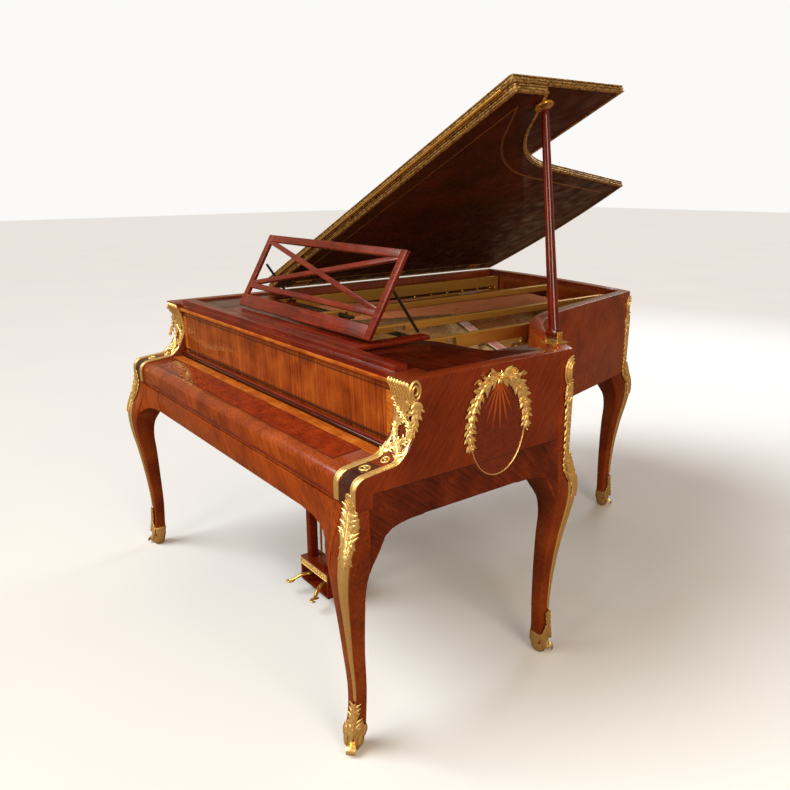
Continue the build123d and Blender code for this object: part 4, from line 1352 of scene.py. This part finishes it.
@dataclass
class KneeMounts:
    """The leaf sprays on each knee and the rib that runs from them to the shoe."""

    foot: float = 150.0
    knot: float = 556.0
    front_rise: float = 30.0  # mm that the front legs' leaves stand higher

    def knot_of(self, corner: Corner) -> float:
        """The height at which a leg's leaf springs from its rib."""
        return self.knot + (self.front_rise if corner.name.startswith("front") else 0.0)

    def rib(self, name: str, corner: Corner) -> bpy.types.Object:
        """The tapering rib down the arris."""
        rings = []
        for k in range(41):
            share = k / 40
            height = self.foot + (self.knot_of(corner) - self.foot) * share
            width = 5.5 + 19 * share**1.5
            rise = 2.4 + 3.2 * share
            lean = -0.4 * width if corner.name.startswith("front") else 0.0
            outline = [
                (-width, 0.1), (-0.82 * width, rise * 0.8), (-0.5 * width, rise * 0.45), (-0.22 * width, rise)
            ]
            outline += [
                (0, rise * 1.15), (0.22 * width, rise), (0.5 * width, rise * 0.45), (0.82 * width, rise * 0.8)
            ]
            outline += [(width, 0.1), (width * 0.6, -2.5), (0.0, -2.5), (-width * 0.6, -2.5)]
            rings.append([corner.wrap(a + lean, height, r) for a, r in outline])
        return loft(name, rings)

    def build(self, masters: Masters) -> None:
        """Model every leg's knee mount and hide the CAD ones.

        Args:
            masters: the castings to copy.
        """
        parts = []
        for corner in CORNERS.values():
            parts.append(self.rib(f"knee_rib_{corner.name}", corner))
            shift, knot = (26.0 if corner.name.startswith("front") else 0.0), self.knot_of(corner)
            ground = Leaf(
                122, (17, 27, 24, 35, 27, 38, 28, 34, 24, 29, 18, 22, 13, 15, 6),
                (3, 3.5, 4, 4, 4, 4, 4, 4, 4, 4, 4, 4, 4, 4, 4), 0.03, 10, 2.5, True, 0.4, 1.6,
            ).build("knee_ground")
            wrapped(ground, corner, knot - 14, shift=shift)
            parts.append(ground)
            for reach, gap, spread, size, foot, flip in (
                (88, 15, 0.52, 0.95, knot - 10, False), (58, 15, 0.36, 0.85, knot + 18, True)
            ):
                leaf = spray("knee_leaf", masters, reach, gap, spread, size)
                wrapped(leaf, corner, foot, 3.0, flip, shift)
                parts.append(leaf)
        mount = merge("knee_castings", parts)
        finish_piece(mount, Finish.GILT, "knee_mounts", ("knee_mounts",), 50)


@dataclass
class Sabots:
    """The gilt shoes: a moulded cup, a leaf up the arris and a scroll at the toe."""

    def cup(self, corner: Corner) -> bpy.types.Object:
        """The shoe round the foot of the leg: rounded below, square where it meets the wood."""
        legs, rings = CabrioleLegs(), []
        stations = (
            (0, -13, 1), (4, -7, 1), (12, -2, 1), (26, 1, 0.9), (44, 2.5, 0.6), (58, 2.2, 0.3),
            (64, 3.4, 0.25),
            (69, 2.6, 0.2), (70, 0, 0.2),
        )
        for height, grow, roundness in stations:
            ring = legs.ring(corner, height)
            centre = sum(ring, Vector()) / len(ring)
            radius = 0.545 * corner.step(height, 1) * MM
            points = []
            for p in ring:
                way = (p - centre).normalized()
                square = (p - centre).length
                points.append(centre + way * (square + (radius - square) * roundness + grow * MM))
            rings.append(points)
        return loft(f"shoe_{corner.name}", rings)

    def toe(self, corner: Corner) -> bpy.types.Object:
        """A scroll that rolls forward off the toe."""
        centre = at(corner.x - corner.out_x * 32, corner.y + corner.out_y * 9, 15)
        out = corner.out()
        path = []
        for k in range(26):
            turn = -0.6 + k / 25 * 3.2 * pi / 1.6
            radius = 12.5 - 9 * k / 25
            path.append(centre + (out * cos(turn) + Vector((0, 0, 1)) * sin(turn)) * radius * MM)
        side = out.cross(Vector((0, 0, 1)))
        ups = [side] * len(path)
        profile = [(2.4 * cos(a), 13 * sin(a)) for a in (2 * pi * i / 10 for i in range(10))]
        return sweep(f"toe_{corner.name}", path, profile, ups, scales=[1 - 0.35 * k / 25 for k in range(26)])

    def build(self, masters: Masters) -> None:
        """Model every shoe.

        Args:
            masters: the castings to copy.
        """
        parts, up, along = [], Vector((0, 0, 1)), Vector((0, 1, 0))
        for corner in CORNERS.values():
            leaf = spray("shoe_leaf", masters, 92, 15, 0.42, 0.78)
            wrapped(leaf, corner, 46, 2.5, shift=5.0 if corner.name.startswith("front") else 0.0)
            sides = [
                set_place(Vector((x, y, 1)) * MM, along, up, size)
                for x, y,
                size in (
                    (-32, 10, 0.9), (-18, 14, 1.15), (18, 14, 1.15), (32, 10, 0.9), (-24, -12, 0.9),
                    (24, -12, 0.9)
                )
            ]
            wings = stamp("shoe_wings", masters.lobe, sides)
            wrapped(wings, corner, 30, 3.5)
            parts += [self.cup(corner), self.toe(corner), leaf, wings]
        finish_piece(merge("shoe_castings", parts), Finish.GILT, "sabots", ("sabots",), 50)


@dataclass
class CornerMounts:
    """The pendants down the case's corners: a scroll at the top, then leaves on a stem."""

    top: float = 912.0
    low: float = 640.0

    def build(self, masters: Masters) -> None:
        """Model the three pendants, one half on each face of its corner.

        Args:
            masters: the castings to copy.
        """
        parts = []
        for name in ("treble", "tail_right", "tail_left"):
            corner = CORNERS[name]
            shell = Leaf(
                80, (6, 14, 19, 22, 23, 22, 18, 10), (2, 3, 3.5, 4, 4, 3.5, 3, 2), 0.0, 12, 2.0, False,
                flute=1.4
            ).build("pendant_shell")
            wrapped(shell, corner, self.top - 81)
            parts.append(shell)
            for wide, tall, proud in ((26, 41, 3.0), (17.5, 33, 4.5), (9, 24, 5.5)):
                loop = [
                    (
                        wide * cos(t), self.top - 42 + tall * sin(t)
                    ) for t in (2 * pi * k / 40 for k in range(40))
                ]
                parts.append(self.cord("pendant_rim", corner, loop, proud, 2.9, closed=True))
            for sign in (-1, 1):
                bow = [
                    (0, 838), (sign * 17, 828), (sign * 24, 806), (sign * 16, 786), (sign * 5, 792), (0, 806)
                ]
                parts.append(self.cord("pendant_bow", corner, bow, 5.0, 2.4))
            drop = spray("pendant_drop", masters, self.top - 84 - self.low, 20, 0.62, 0.78)
            wrapped(drop, corner, self.top - 72, 1.0, flip=True)
            parts.append(drop)
        piece = merge("corner_castings", parts)
        finish_piece(piece, Finish.GILT, "corner_mounts", ("corner_mounts",), 50)

    def cord(
        self, name: str, corner: Corner, line: Sequence[Row], proud: float, radius: float,
        closed: bool = False
    ) -> bpy.types.Object:
        """A round moulding laid over the corner.

        Args:
            name: the piece's name.
            corner: the case's corner.
            line: its across and height at each point, as Corner.wrap reads them.
            proud: how far it stands off the wood.
            radius: its radius in millimetres.
            closed: whether it meets itself.

        Returns:
            The piece.
        """
        path = [corner.wrap(across, height, proud) for across, height in line]
        if not closed:
            path = smooth(path, 5)
        return sweep(name, path, circle(radius), corner.out(), closed=closed)


@dataclass
class ArmMounts:
    """The framed front of each arm: two mouldings, rings, crossed garlands and a reeded scroll."""

    edge: float = 11.0  # mm from the arm's side to a moulding's middle
    width: float = 18.0

    @staticmethod
    def line() -> list[tuple[float, float]]:
        """The arm's front profile from the knee to the scroll: depth and height."""
        points = [(0, 664), (0, 700), (2.6, 713), (9, 722), (20, 728.5), (32, 731), (72, 735.3), (112, 740),
                  (136, 757), (155, 778), (168, 808), (171, 838), (168, 868), (160, 898), (150, 918)]
        run = smooth([Vector((d, z, 0)) for d, z in points], 5)
        return [(p.x, p.y) for p in run]

    def spot(self, share: float, x: float, proud: float) -> tuple[Vector, Vector, Vector]:
        """A point on the arm's front, with the profile's direction and the way out of it.

        Args:
            share: how far up the profile, 0 to 1.
            x: millimetres.
            proud: millimetres off the wood.

        Returns:
            The point, the direction and the outward normal.
        """
        run = self.line()
        place = share * (len(run) - 1)
        i = min(int(place), len(run) - 2)
        a, b = Vector((*run[i], 0)), Vector((*run[i + 1], 0))
        p, t = a.lerp(b, place - i), (b - a).normalized()
        normal = Vector((0, -t.y, t.x))
        return at(x, back(p.x), p.y) + normal * (proud * MM), Vector((0, t.x, t.y)), normal

    def build(self, masters: Masters) -> None:
        """Model both arms' mounts and the dark panels between them.

        Args:
            masters: the castings to copy.
        """
        parts = []
        for side in Side:
            sign = side.value
            middle = sign * (HALF_WIDTH - ARM / 2)
            shares = [k / 90 for k in range(91)]
            for x in (sign * (HALF_WIDTH - self.edge), sign * (HALF_WIDTH - ARM + self.edge)):
                spots = [self.spot(s, x, 0) for s in shares]
                path, ups = [s[0] for s in spots], [s[2] for s in spots]
                parts.append(sweep("arm_edge", path, half_round(self.width, 4.5, 8), ups))
                for shift in (-7.6, 0, 7.6):
                    fillet = [p + Vector((shift * MM, 0, 0)) + n * (1.6 * MM) for p, n in zip(path, ups)]
                    parts.append(sweep("arm_fillet", fillet, circle(2.2, 6), ups))
            panel = [self.spot(s, middle, 0) for s in shares]
            sheet = sweep(
                "arm_panel", [s[0] for s in panel], [(-34, -1), (34, -1), (34, 0.6), (-34, 0.6)],
                [s[2] for s in panel]
            )
            sheet.name = sheet.data.name = f"arm_panel_{side.name.lower()}"
            finish_piece(sheet, Finish.PLUM, "bass_side" if sign < 0 else "treble_cheek")
            for share, radius in ((0.40, 12), (0.50, 10)):
                point, along, normal = self.spot(share, middle, 2.2)
                bpy.ops.object.select_all(action="DESELECT")
                bpy.ops.mesh.primitive_torus_add(
                    major_radius=radius * MM, minor_radius=2.4 * MM, major_segments=32, minor_segments=10
                )
                ring = bpy.context.active_object
                with bench(ring):
                    pick(ring, "VERT", lambda v: v.co.z < 0)
                    bpy.ops.transform.resize(value=(1, 1, 0.4))
                ring.data.transform(set_place(point, along, normal))
                parts += [ring, stamp("arm_ring_bead", masters.bead, [set_place(point, along, normal, 1.1)])]
            for start in (-1, 1):
                stem = [
                    self.spot(0.53 + 0.36 * k / 36, middle + start * 27 * cos(k / 36 * 3.1 * pi * 0.7), 5)[0]
                    for k in range(37)
                ]
                outward = self.spot(0.7, middle, 0)[2]
                parts.append(sweep("arm_stem", stem, circle(3.0, 8), outward))
                parts.append(
                    garland("arm_garland", masters.laurel, stem, lambda p, n=outward: n, 15, 0.6, 0.72, 0.5)
                )
            for rib in range(7):
                x = middle + (rib - 3) * 11.5
                path = [self.spot(0.80 + 0.2 * k / 12, x, 2.5)[0] for k in range(13)]
                top = path[-1]
                for k in range(1, 15):
                    turn = k / 14 * 3.7
                    radius = 15 - 6 * k / 14
                    path.append(top + Vector((0, radius * (1 - cos(turn)), radius * sin(turn) * 0.75)) * MM)
                parts.append(sweep("arm_reed", path, circle(5.6 - 0.25 * abs(rib - 3), 8), Vector((1, 0, 0))))
            centre = at(sign * (HALF_WIDTH + 2), back(163), 905)
            spiral = []
            for k in range(60):
                turn = pi * 1.05 - k / 59 * 3.6 * pi
                radius = 23 - 17 * k / 59
                spiral.append(centre + Vector((0, cos(turn) * radius * 0.72, sin(turn) * radius * 1.15)) * MM)
            parts.append(sweep("arm_volute", spiral, circle(3.2, 8), Vector((sign, 0, 0))))
            tassel = smooth(
                [
                    at(sign * (HALF_WIDTH + 2), back(d), z) for d,
                    z in ((166, 882), (168, 856), (158, 826), (146, 800))
                ], 6
            )
            parts.append(
                garland(
                    "arm_tassel", masters.laurel, tassel, lambda p, s=sign: Vector((s, -0.5, 0)).normalized(),
                    15, 0.5, 0.7
                )
            )
        piece = merge("arm_castings", parts)
        finish_piece(piece, Finish.GILT, "arm_mounts", ("arm_mounts",), 50)


@dataclass
class Wreaths:
    """The oval on each flank: sunburst inlay, thin gilt rim, laurel garlands and a ribbon bow."""

    depth: float = 424.0
    height: float = 771.0
    radii: tuple[float, float] = (92.0, 126.0)

    def rim_point(self, angle: float, x: float, grow: float = 0.0) -> Vector:
        """A point on the oval, with the angle measured from the top towards the tail."""
        across, tall = (radius + grow for radius in self.radii)
        return at(x, back(self.depth + across * sin(angle)), self.height + tall * cos(angle))

    def build(self, masters: Masters) -> None:
        """Model both flanks' wreaths.

        Args:
            masters: the castings to copy.
        """
        parts = []
        burst = Sunburst("sunburst marquetry", (back(self.depth), self.height + 122))
        for side in Side:
            sign = side.value
            face, node = sign * HALF_WIDTH, "treble_cheek" if sign > 0 else "bass_side"
            out = Vector((sign, 0, 0))
            oval = [self.rim_point(2 * pi * k / 64, face - sign * 0.5) for k in range(64)]
            finish_piece(prism(f"oval_inlay_{side.name.lower()}", oval, out * 0.0009), burst, node)
            rim = [self.rim_point(2 * pi * k / 72, face) for k in range(72)]
            parts.append(sweep("wreath_rim", rim, half_round(3.4, 3.0), out, closed=True))
            for turn, end in ((-1, 1.92), (1, 1.72)):
                stem = [
                    self.rim_point(
                        turn * (0.12 + (end - 0.12) * k / 30), face + sign * 2.5, 4
                    ) for k in range(31)
                ]
                parts.append(
                    garland("wreath_garland", masters.laurel, stem, lambda p, o=out: o, 19, 0.58, 1.12, 0.75)
                )
                places = [
                    set_place(point + out * 0.006 + Vector((0, 0, 0.006 * (-1) ** i)), along, out, 0.9)
                    for i, (point, along) in enumerate(even(stem, 21))
                ]
                parts.append(stamp("wreath_berries", masters.bead, places))
            parts += self.bow(sign, masters)
        finish_piece(merge("wreath_castings", parts), Finish.GILT, "wreaths", ("wreaths",), 50)

    def bow(self, sign: int, masters: Masters) -> list[bpy.types.Object]:
        """The ribbon bow over the oval: two loops, two curling tails and a rosette.

        Args:
            sign: the flank's sign of x.
            masters: the castings to copy.

        Returns:
            Its pieces.
        """
        x, out = sign * (HALF_WIDTH + 3), Vector((sign, 0, 0))
        band = [(-0.8, -5.5), (0.8, -5.5), (1.4, 0), (0.8, 5.5), (-0.8, 5.5)]
        ribbon = [(0.9 * a, r) for a, r in band]
        parts = []
        for turn in (-1, 1):
            loop = [(6, 897), (20, 910), (40, 913), (47, 902), (35, 892), (14, 892)]
            tail = [(8, 891), (30, 887), (46, 898), (60, 888), (74, 899), (86, 891)]
            for run, rise in ((loop, 5), (tail, 2)):
                path = smooth(
                    [
                        at(x + sign * rise * sin(pi * k / 5), back(self.depth + turn * d), z) for k,
                        (d, z) in enumerate(run)
                    ], 6
                )
                parts.append(sweep("bow_ribbon", path, ribbon, [Vector((sign * 0.6, 0, 0.8))] * len(path)))
        middle = at(x, back(self.depth), 897)
        petals = [
            set_place(
                middle, Vector((0, cos(a), sin(a))), out, 0.6
            ) for a in (2 * pi * k / 9 for k in range(9))
        ]
        parts.append(stamp("bow_rosette", masters.laurel, petals))
        parts.append(
            stamp("bow_bead", masters.bead, [set_place(middle + out * 0.004, Vector((0, 0, 1)), out, 1.6)])
        )
        return parts


# ---- inside and below ----


@dataclass
class Instrument:
    """Soundboard, plate, strings, keys and action."""

    bolt_gap: float = 95.0

    def build(self, masters: Masters) -> None:
        """Model what is under the lid and behind the fallboard.

        Args:
            masters: the castings to copy.
        """
        refine("soundboard", Finish.SPRUCE, 0.8)
        refine("iron_plate", Finish.IRON, 2.5, 3)
        refine("bass_bridge", Finish.MAPLE, 1.5)
        refine("treble_bridge", Finish.MAPLE, 1.5)
        refine("pin_block", Finish.DARK, 1.0)
        refine("white_keys", Finish.IVORY, 0.7)
        refine("black_keys", Finish.EBONY, 0.9)
        refine("hammers", Finish.MAPLE, 0.8)
        refine("dampers", Finish.EBONY, 1.0)
        refine("key_frame", Finish.MAPLE, 0.6)
        refine("action_rail", Finish.MAPLE, 0.8)
        dress("bass_strings", Finish.COPPER)
        dress("treble_strings", Finish.STEEL)
        dress("tuning_pins", Finish.STEEL)
        self.cloth()
        self.bolts(masters)

    def cloth(self) -> None:
        """Felt under the strings and woven listing through them behind the bridge."""
        plate = 851
        for name, low, high, z, finish in (
            ("string_felt", (-600, 432), (620, 452), plate, Finish.RED_FELT),
            ("string_felt_pale", (-600, 453), (620, 460), plate, Finish.GREY_FELT),
        ):
            outline = [
                at(low[0], back(low[1]), z), at(high[0], back(low[1]), z), at(high[0], back(high[1]), z),
                at(low[0], back(high[1]), z)
            ]
            strip = prism(name, outline, at(0, 0, 5))
            finish_piece(strip, finish, "iron_plate")
        for name, finish, shift, wide in (
            ("listing_red", Finish.RED_FELT, 0, 26), ("listing_white", Finish.GREY_FELT, -16, 4),
            ("listing_white_low", Finish.GREY_FELT, 16, 4),
        ):
            path = []
            for k in range(41):
                share = k / 40
                path.append(at(-505 + 1050 * share, back(1505 + shift - 820 * share**0.55), 869.5))
            strip = sweep(
                name, path, [(-wide / 2, 0), (wide / 2, 0), (wide / 2, 2.2), (-wide / 2, 2.2)],
                Vector((0, 0, 1))
            )
            finish_piece(strip, finish, "iron_plate")

    def bolts(self, masters: Masters) -> None:
        """Domed bolts round the plate's flange."""
        lid = Lid()
        run = [at(x, y, 851) for x, y in lid.outline(78)[18:-3]]
        places = [set_place(p, t, Vector((0, 0, 1)), 2.6) for p, t in even(run, self.bolt_gap)]
        finish_piece(stamp("plate_bolts", masters.bead, places), Finish.BRASS, "iron_plate")


@dataclass
class Pedals:
    """The pedal box with its frieze, the posts, and two curled pedals."""

    middle: float = 30.0
    spread: float = 45.0
    front: float = 290.0

    def build(self, masters: Masters) -> None:
        """Model the pedals and their box.

        Args:
            masters: the castings to copy.
        """
        refine("pedal_box", Finish.MAHOGANY, 3.0, 3)
        refine("lyre_posts", Finish.MAHOGANY, 3.0, 3)
        for node in ("pedal_rod_left", "pedal_rod_right"):
            refine(node, Finish.BRASS, 0.8)
        self.frieze(masters)
        for name, sign in (("left", -1), ("right", 1)):
            self.pedal(name, sign)

    def frieze(self, masters: Masters) -> None:
        """The gilt strip on the box's face: two fillets, and leaves about a row of beads."""
        half, y = 84, back(self.front)
        parts = []
        for z in (97.5, 116.5):
            parts.append(
                sweep(
                    "frieze_fillet", [at(self.middle - half, y, z), at(self.middle + half, y, z)],
                    half_round(3.4, 4), Vector((0, -1, 0))
                )
            )
        plate = [
            at(self.middle - half, y, 97), at(self.middle + half, y, 97), at(self.middle + half, y, 117),
            at(self.middle - half, y, 117)
        ]
        parts.append(prism("frieze_ground", plate, at(0, -1.2, 0)))
        out = Vector((0, -1, 0))
        leaves, beads = [], []
        for k in range(-4, 5):
            x = self.middle + k * 18
            beads.append(set_place(at(x, y - 2, 107), Vector((0, 0, 1)), out, 1.0))
            for turn in (-1, 1):
                for tall in (-1, 1):
                    leaves.append(set_place(at(x, y - 1.2, 107), Vector((turn, 0, 0.8 * tall)), out, 0.38))
        parts += [stamp("frieze_leaves", masters.laurel, leaves), stamp("frieze_beads", masters.bead, beads)]
        finish_piece(merge("frieze_castings", parts), Finish.GILT, "pedal_frieze", ("pedal_frieze",), 50)

    def pedal(self, name: str, sign: int) -> None:
        """One pedal: a lever that swells, drops and curls outwards into a flat scroll.

        Args:
            name: left or right.
            sign: which way it curls.
        """
        x = self.middle + sign * self.spread
        lever = [(0, 349, 70), (0, 320, 70), (0, 298, 70), (sign * 6, 284, 69), (sign * 14, 270, 65),
                 (sign * 22, 256, 56), (sign * 30, 246, 49)]
        path = smooth([at(x + dx, back(d), z) for dx, d, z in lever], 6)
        centre = at(x + sign * 37, back(239), 44)
        for k in range(30):
            turn = 1.0 - k / 29 * 4.4
            radius = 13 - 9.5 * k / 29
            path.append(
                centre + Vector((-sign * cos(turn) * radius, sin(turn) * radius, 2.5 * (1 - k / 29))) * MM
            )
        total = len(path)
        scales = [
            0.85 + 0.35 * sin(
                pi * min(1, k / 34)
            ) if k < 34 else 1.0 - 0.5 * (k - 34) / (total - 34) for k in range(total)
        ]
        profile = [(7 * cos(a), 4.4 * sin(a)) for a in (2 * pi * i / 14 for i in range(14))]
        lever_piece = sweep(f"pedal_{name}_casting", path, profile, Vector((0, 0, 1)), scales=scales)
        finish_piece(lever_piece, Finish.BRASS, f"pedal_{name}", (f"pedal_{name}",), 60)


@dataclass
class Studio:
    """Floor, light and camera."""

    eye: tuple[float, float, float] = (1.995, -1.722, 1.356)
    yaw: float = radians(53.484)
    pitch: float = radians(16.025)
    roll: float = radians(-0.391)
    lens: float = 33.95

    def build(self) -> None:
        """Set up the floor, the lamps and the camera."""
        bpy.ops.object.select_all(action="DESELECT")
        bpy.ops.mesh.primitive_plane_add(size=60)
        floor = bpy.context.active_object
        floor.name = "floor"
        floor.data.materials.append(self.paper())
        world = bpy.data.worlds.new("studio")
        bpy.context.scene.world = world
        world.use_nodes = True
        tree = world.node_tree
        seen = add_node(tree, "LightPath").outputs["Is Camera Ray"]
        sky = add_node(
            tree, "Mix", {0: seen, 6: linear("#ffdcbc"), 7: linear("#fdfcfa")}, data_type="RGBA"
        ).outputs[2]
        strength = add_node(tree, "MapRange", {0: seen, 3: 0.38, 4: 0.98}).outputs[0]
        tree.links.new(sky, tree.nodes["Background"].inputs[0])
        tree.links.new(strength, tree.nodes["Background"].inputs[1])
        sun = bpy.data.lights.new("sun", "SUN")
        sun.energy, sun.angle, sun.color = 2.7, radians(38), linear("#fff8ee")[:3]
        self.place(sun, (-2.4, -4.2, 5.0), (0, 0, 0))
        for name, place, aim, size, power, colour in (
            ("front", (0.9, -4.4, 1.9), (0, -0.6, 0.7), 1.2, 36, "#ffe2c0"),
            ("side", (4.4, -1.2, 2.2), (0.3, 0, 0.6), 1.8, 85, "#ffe2c4"),
            ("rim", (-1.5, 4.5, 3.2), (0, 0, 0.9), 2.0, 50, "#ffffff"),
        ):
            lamp = bpy.data.lights.new(name, "AREA")
            lamp.size, lamp.energy, lamp.color = size, power, linear(colour)[:3]
            self.place(lamp, place, aim)
        self.shoot()

    def paper(self) -> bpy.types.Material:
        """Make the pale floor, which is a dim warm floor to everything that it lights."""
        material, tree, output = new_material("pale paper floor")
        place = add_node(tree, "TexCoord").outputs["Object"]
        fleck = add_node(tree, "TexNoise", {0: place, 2: 1.2, 3: 2.0}).outputs[0]
        pale = add_ramp(tree, fleck, ((0.3, "#e8f3ff"), (0.7, "#eaf5ff")))
        seen = add_node(tree, "LightPath").outputs["Is Camera Ray"]
        colour = add_node(tree, "Mix", {0: seen, 6: linear("#7c6350"), 7: pale}, data_type="RGBA").outputs[2]
        shader = add_node(tree, "BsdfDiffuse", {0: colour})
        tree.links.new(shader.outputs[0], output.inputs[0])
        return material

    @staticmethod
    def place(
        lamp: bpy.types.Light, place: tuple[float, float, float], aim: tuple[float, float, float]
    ) -> None:
        """Stand a lamp in the studio.

        Args:
            lamp: the lamp.
            place: where it stands.
            aim: the point that it faces.
        """
        holder = bpy.data.objects.new(lamp.name, lamp)
        holder.location = place
        holder.rotation_euler = (Vector(aim) - Vector(place)).to_track_quat("-Z", "Y").to_euler()
        bpy.context.collection.objects.link(holder)

    def shoot(self) -> None:
        """Set up the camera."""
        ahead = Vector(
            (-sin(self.yaw) * cos(self.pitch), cos(self.yaw) * cos(self.pitch), -sin(self.pitch))
        )
        level = Vector((cos(self.yaw), sin(self.yaw), 0))
        above = level.cross(ahead)
        right = level * cos(self.roll) + above * sin(self.roll)
        up = above * cos(self.roll) - level * sin(self.roll)
        camera = bpy.data.objects.new("camera", bpy.data.cameras.new("camera"))
        camera.data.lens, camera.data.sensor_width = self.lens, 36.0
        camera.location = self.eye
        camera.rotation_euler = Matrix((right, up, -ahead)).transposed().to_euler()
        bpy.context.collection.objects.link(camera)
        bpy.context.scene.camera = camera
        bpy.context.scene.view_settings.view_transform = "Standard"


def main() -> None:
    """Build every sub-assembly in order, and the studio round them."""
    masters = Masters()
    for assembly in (CabrioleLegs(), Case(), Fallboard(), MusicDesk(), Lid(), Prop()):
        assembly.build()
        log.info("%s done", type(assembly).__name__)
    for assembly in (KneeMounts(), Sabots(), CornerMounts(), ArmMounts(), Wreaths(), Instrument(), Pedals()):
        assembly.build(masters)
        log.info("%s done", type(assembly).__name__)
    masters.clear()
    Studio().build()
    bpy.context.view_layer.update()


if __name__ == "__main__":
    logging.basicConfig(level=logging.INFO, format="%(message)s")
    main()
